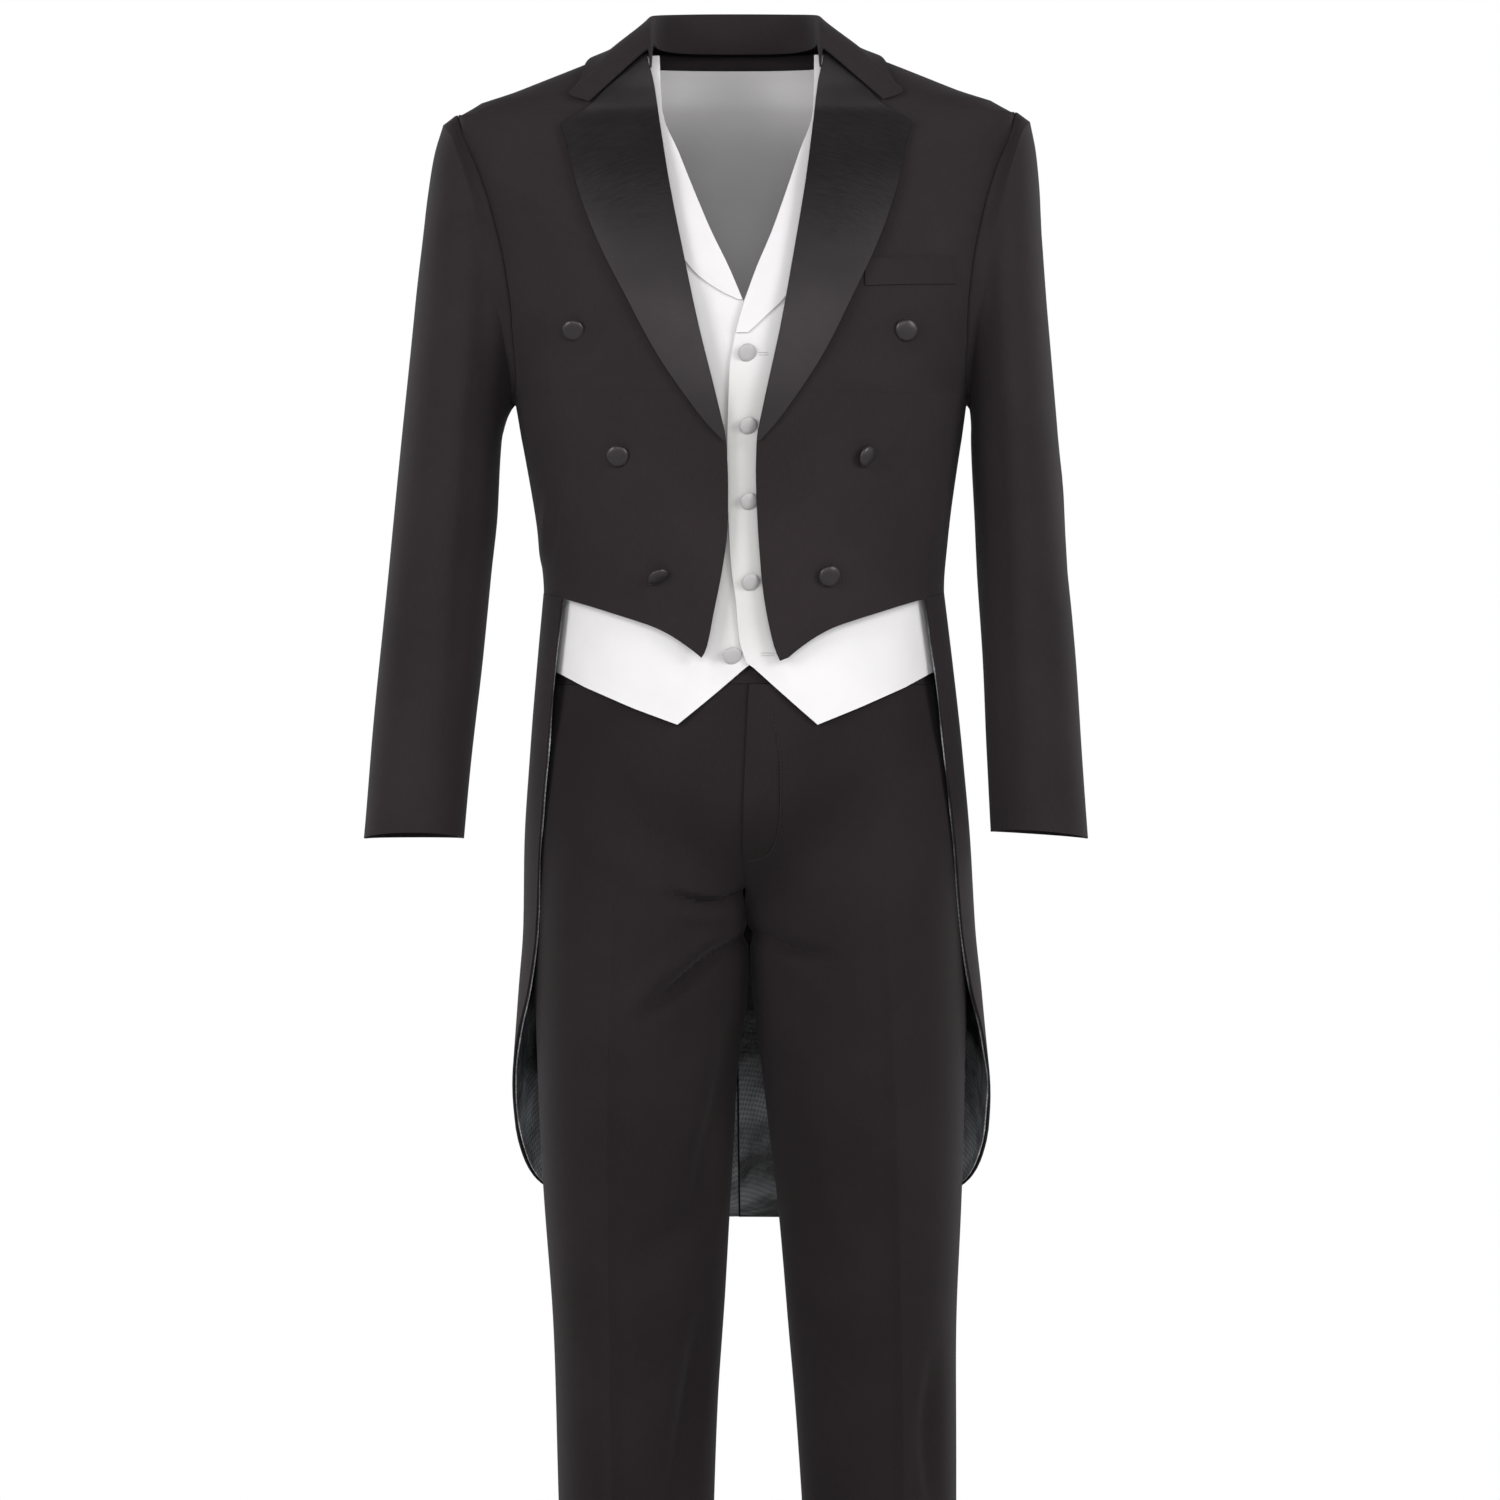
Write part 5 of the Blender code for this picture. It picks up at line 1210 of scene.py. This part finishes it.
def make_trousers():
    for name, ahead in (("front", 1), ("back", -1)):
        grid = []
        for z in fine(TROUSER_ROWS, ROWS["trousers"]):
            row = []
            for share in trouser_shares():
                seam = smooth(*SEAM_SHARES, share)
                blend_top = HIP_BLEND_TOP + (CROTCH_BLEND_TOP - HIP_BLEND_TOP) * seam
                blend_low = HIP_BLEND_LOW + (CROTCH_BLEND_LOW - HIP_BLEND_LOW) * seam
                weight = smooth(blend_top, blend_low, z)
                hip_turn = 90 - 90 * share if ahead > 0 else 90 + 90 * share
                leg_turn = 90 - 180 * share if ahead > 0 else 90 + 180 * share
                hip = on_form(HIP_FORM, z, hip_turn)
                row.append(hip * (1 - weight) + leg_point(z, leg_turn) * weight)
            grid.append(row[::-1] if ahead > 0 else row)
        lapped = fly_lap if name == "front" else None
        for end, side in SIDES:
            cloth(f"trousers_{name}_{end}", grid, TROUSER_WOOL, side, trouser_relief, trim=1,
                  shift=lapped, sharp=PRESSED_ANGLE)


def make_waistband():
    start = turn_at(HIP_FORM, WAISTBAND_ROWS[1], WAISTBAND_ENDS)
    cells = []
    turns = even_steps(start, start + 360, COLUMNS["waistband"])
    for z in fine(WAISTBAND_ROWS, ROWS["waistband"]):
        cells.append([(z, turn, 0.0) for turn in turns])
    cloth("waistband", cells_grid(HIP_FORM, cells), BAND_WOOL)


# Buttons
def make_button(name, panel, reach, z, size, look, tilt):
    """A cloth-covered button: a crowned disc drawn in to a short shank, turned by its tilt."""
    cloth_piece = bpy.data.objects[f"{panel}_cloth"]
    start = Vector((reach - HANG_LEAN * z, -1.0, z))
    _, place, normal, _ = cloth_piece.ray_cast(start, Vector((0.0, 1.0, 0.0)))
    radius, height, shank = size["radius"], size["height"], size["shank"]
    points, faces = [], []
    for share, shanks, heights in BUTTON_PROFILE:
        for i in range(BUTTON_SIDES):
            angle = 2 * math.pi * i / BUTTON_SIDES
            out = share * radius
            rise = shanks * shank + heights * height
            points.append((out * math.cos(angle), out * math.sin(angle), rise))
    crown = len(points)
    points.append((0.0, 0.0, shank + height))
    for row in range(len(BUTTON_PROFILE) - 1):
        for i in range(BUTTON_SIDES):
            a, b = row * BUTTON_SIDES + i, row * BUTTON_SIDES + (i + 1) % BUTTON_SIDES
            faces.append((a, b, b + BUTTON_SIDES, a + BUTTON_SIDES))
    faces.append(tuple(range(BUTTON_SIDES))[::-1])
    top = crown - BUTTON_SIDES
    faces += [(top + i, top + (i + 1) % BUTTON_SIDES, crown) for i in range(BUTTON_SIDES)]
    mesh = bpy.data.meshes.new(name)
    mesh.from_pydata(points, [], faces)
    layer = mesh.uv_layers.new(name="cloth")
    for loop in mesh.loops:
        layer.data[loop.index].uv = mesh.vertices[loop.vertex_index].co[:2]
    mesh.materials.append(look)
    mesh.shade_smooth()
    piece = bpy.data.objects.new(f"{name}_covered", mesh)
    bpy.context.collection.objects.link(piece)
    facing = (normal + Vector((tilt[0], 0.0, tilt[1]))).normalized()
    piece.location = place + normal * SEAM_GAP
    piece.rotation_euler = facing.to_track_quat("Z", "Y").to_euler()
    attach(piece, "root")
    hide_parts(name)


def make_buttons():
    for row, reach, z in COAT_BUTTON_ROWS:
        for end, side in SIDES:
            name = f"coat_button_{row}_{end}"
            make_button(name, f"coat_front_{end}", side * reach, z, COAT_BUTTON, BUTTON_SATIN,
                        BUTTON_TILTS[row, end])
    for number, (end, reach, z) in enumerate(WAISTCOAT_BUTTON_PLACES, start=1):
        make_button(f"waistcoat_button_{number}", f"waistcoat_front_{end}", reach, z,
                    WAISTCOAT_BUTTON, PAINTED_SHADE_BUTTON_CLOTH, WAISTCOAT_BUTTON_TILT)


# Stitches and buttonholes
def surface_point(pieces, reach, z):
    """The point of the nearest of some pieces seen from the front, and its normal."""
    best = None
    for aside in SEEK_ASIDE:
        start = Vector((reach + aside - HANG_LEAN * z, -1.0, z))
        for piece in pieces:
            hit, place, normal, _ = piece.ray_cast(start, Vector((0.0, 1.0, 0.0)))
            if hit and (best is None or place.y < best[0].y - SEEK_NEARER):
                best = (place, normal)
    return best


def thread_run(name, rides_on, line, look, slot, pitch, stitch, width):
    """A run of stitches: short rounded dashes of thread laid along a line on the cloth."""
    pieces = [bpy.data.objects[f"{node}_cloth"] for node in rides_on]
    line = curved(line, THREAD_STEPS)
    lengths = np.concatenate([[0], np.cumsum(np.linalg.norm(np.diff(line, axis=0), axis=1))])
    shape = bmesh.new()
    place = 0.0
    while place + stitch < lengths[-1]:
        ends = []
        for at in (place, place + stitch / 2, place + stitch):
            reach, z = (np.interp(at, lengths, line[:, i]) for i in (0, 1))
            ends.append(surface_point(pieces, reach, z))
        rings = []
        for (point, normal), rise, half in zip(ends, (0.0, 0.5, 0.0), (0.5, 1.0, 0.5)):
            along = (ends[2][0] - ends[0][0]).normalized()
            across = along.cross(normal).normalized()
            ring = []
            for i in range(THREAD_SIDES):
                angle = 2 * math.pi * i / THREAD_SIDES
                offset = across * math.cos(angle) * half + normal * (math.sin(angle) * half + rise)
                ring.append(shape.verts.new(point + offset * width / 2))
            rings.append(ring)
        for low, high in zip(rings, rings[1:]):
            for i in range(THREAD_SIDES):
                j = (i + 1) % THREAD_SIDES
                shape.faces.new((low[i], low[j], high[j], high[i]))
        shape.faces.new(rings[0][::-1])
        shape.faces.new(rings[-1])
        place += pitch
    bmesh.ops.recalc_face_normals(shape, faces=shape.faces)
    mesh = bpy.data.meshes.new(name)
    shape.to_mesh(mesh)
    shape.free()
    mesh.uv_layers.new(name="cloth")
    mesh.materials.append(look)
    mesh.shade_smooth()
    piece = bpy.data.objects.new(name, mesh)
    bpy.context.collection.objects.link(piece)
    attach(piece, "root")


def make_stitching():
    fly = ["trousers_front_left", "trousers_front_right"]
    thread_run("fly_stitching", fly, FLY_STITCH, DARK_THREAD, "trouser_wool", **FLY_THREAD)
    for number, (reach, z, length) in enumerate(BUTTONHOLES, start=1):
        for row, lift in (("upper", BUTTONHOLE_HALF), ("lower", -BUTTONHOLE_HALF)):
            line = [(reach, z + lift), (reach + length, z + lift)]
            thread_run(f"buttonhole_{number}_{row}", ["waistcoat_front_left"], line,
                       WHITE_THREAD, "white_cloth", **BUTTONHOLE_THREAD)


# The studio: a floor, a soft sky, softboxes and the camera
def make_floor():
    mesh = bpy.data.meshes.new("studio_floor")
    shape = bmesh.new()
    bmesh.ops.create_circle(shape, cap_ends=True, segments=96, radius=FLOOR_RADIUS)
    shape.to_mesh(mesh)
    shape.free()
    floor = bpy.data.objects.new("studio_floor", mesh)
    floor.location = (0.0, 0.0, FLOOR_Z)
    material = bpy.data.materials.new("studio_floor_paint")
    material.use_nodes = True
    shader = material.node_tree.nodes["Principled BSDF"]
    shader.inputs["Base Color"].default_value = FLOOR_COLOUR
    shader.inputs["Roughness"].default_value = FLOOR_ROUGHNESS
    mesh.materials.append(material)
    bpy.context.collection.objects.link(floor)


def make_sky():
    """A surround that is white behind the suit and darker overhead and below."""
    world = bpy.data.worlds.new("studio")
    world.use_nodes = True
    nodes, links = world.node_tree.nodes, world.node_tree.links
    place = nodes.new("ShaderNodeTexCoord")
    parts = nodes.new("ShaderNodeSeparateXYZ")
    links.new(place.outputs["Generated"], parts.inputs[0])
    shares = []
    for start, end, dark in SKY_FADES:
        ramp = nodes.new("ShaderNodeMapRange")
        ramp.interpolation_type = "SMOOTHSTEP"
        for index, value in ((1, start), (2, end), (3, 1.0), (4, dark)):
            ramp.inputs[index].default_value = value
        links.new(parts.outputs[2], ramp.inputs[0])
        shares.append(ramp.outputs[0])
    both = nodes.new("ShaderNodeMath")
    both.operation = "MULTIPLY"
    for index, share in enumerate(shares):
        links.new(share, both.inputs[index])
    links.new(both.outputs[0], nodes["Background"].inputs[0])
    nodes["Background"].inputs[1].default_value = 1.0
    bpy.context.scene.world = world


def add_softbox(name, place, aim, size, power):
    light = bpy.data.lights.new(name, "AREA")
    light.shape = "RECTANGLE"
    light.size, light.size_y = size
    light.energy = power
    lamp = bpy.data.objects.new(name, light)
    lamp.location = place
    lamp.rotation_euler = (Vector(aim) - Vector(place)).to_track_quat("-Z", "Y").to_euler()
    bpy.context.collection.objects.link(lamp)


def make_camera():
    data = bpy.data.cameras.new("studio_camera")
    data.sensor_width = SENSOR
    data.lens = SENSOR * -CAMERA_PLACE[1] / CAMERA_WIDTH
    camera = bpy.data.objects.new("studio_camera", data)
    camera.location = CAMERA_PLACE
    camera.rotation_euler = (math.pi / 2, 0.0, 0.0)
    bpy.context.collection.objects.link(camera)
    bpy.context.scene.camera = camera


def main():
    make_coat_body()
    make_sleeves()
    make_tails()
    make_lapels()
    make_collar()
    make_welt()
    make_waistcoat()
    make_revers()
    make_trousers()
    make_waistband()
    bpy.context.view_layer.update()
    make_buttons()
    make_stitching()
    make_floor()
    make_sky()
    for name, place, aim, size, power in SOFTBOXES:
        add_softbox(name, place, aim, size, power)
    make_camera()
    bpy.context.scene.view_settings.view_transform = "Standard"


main()
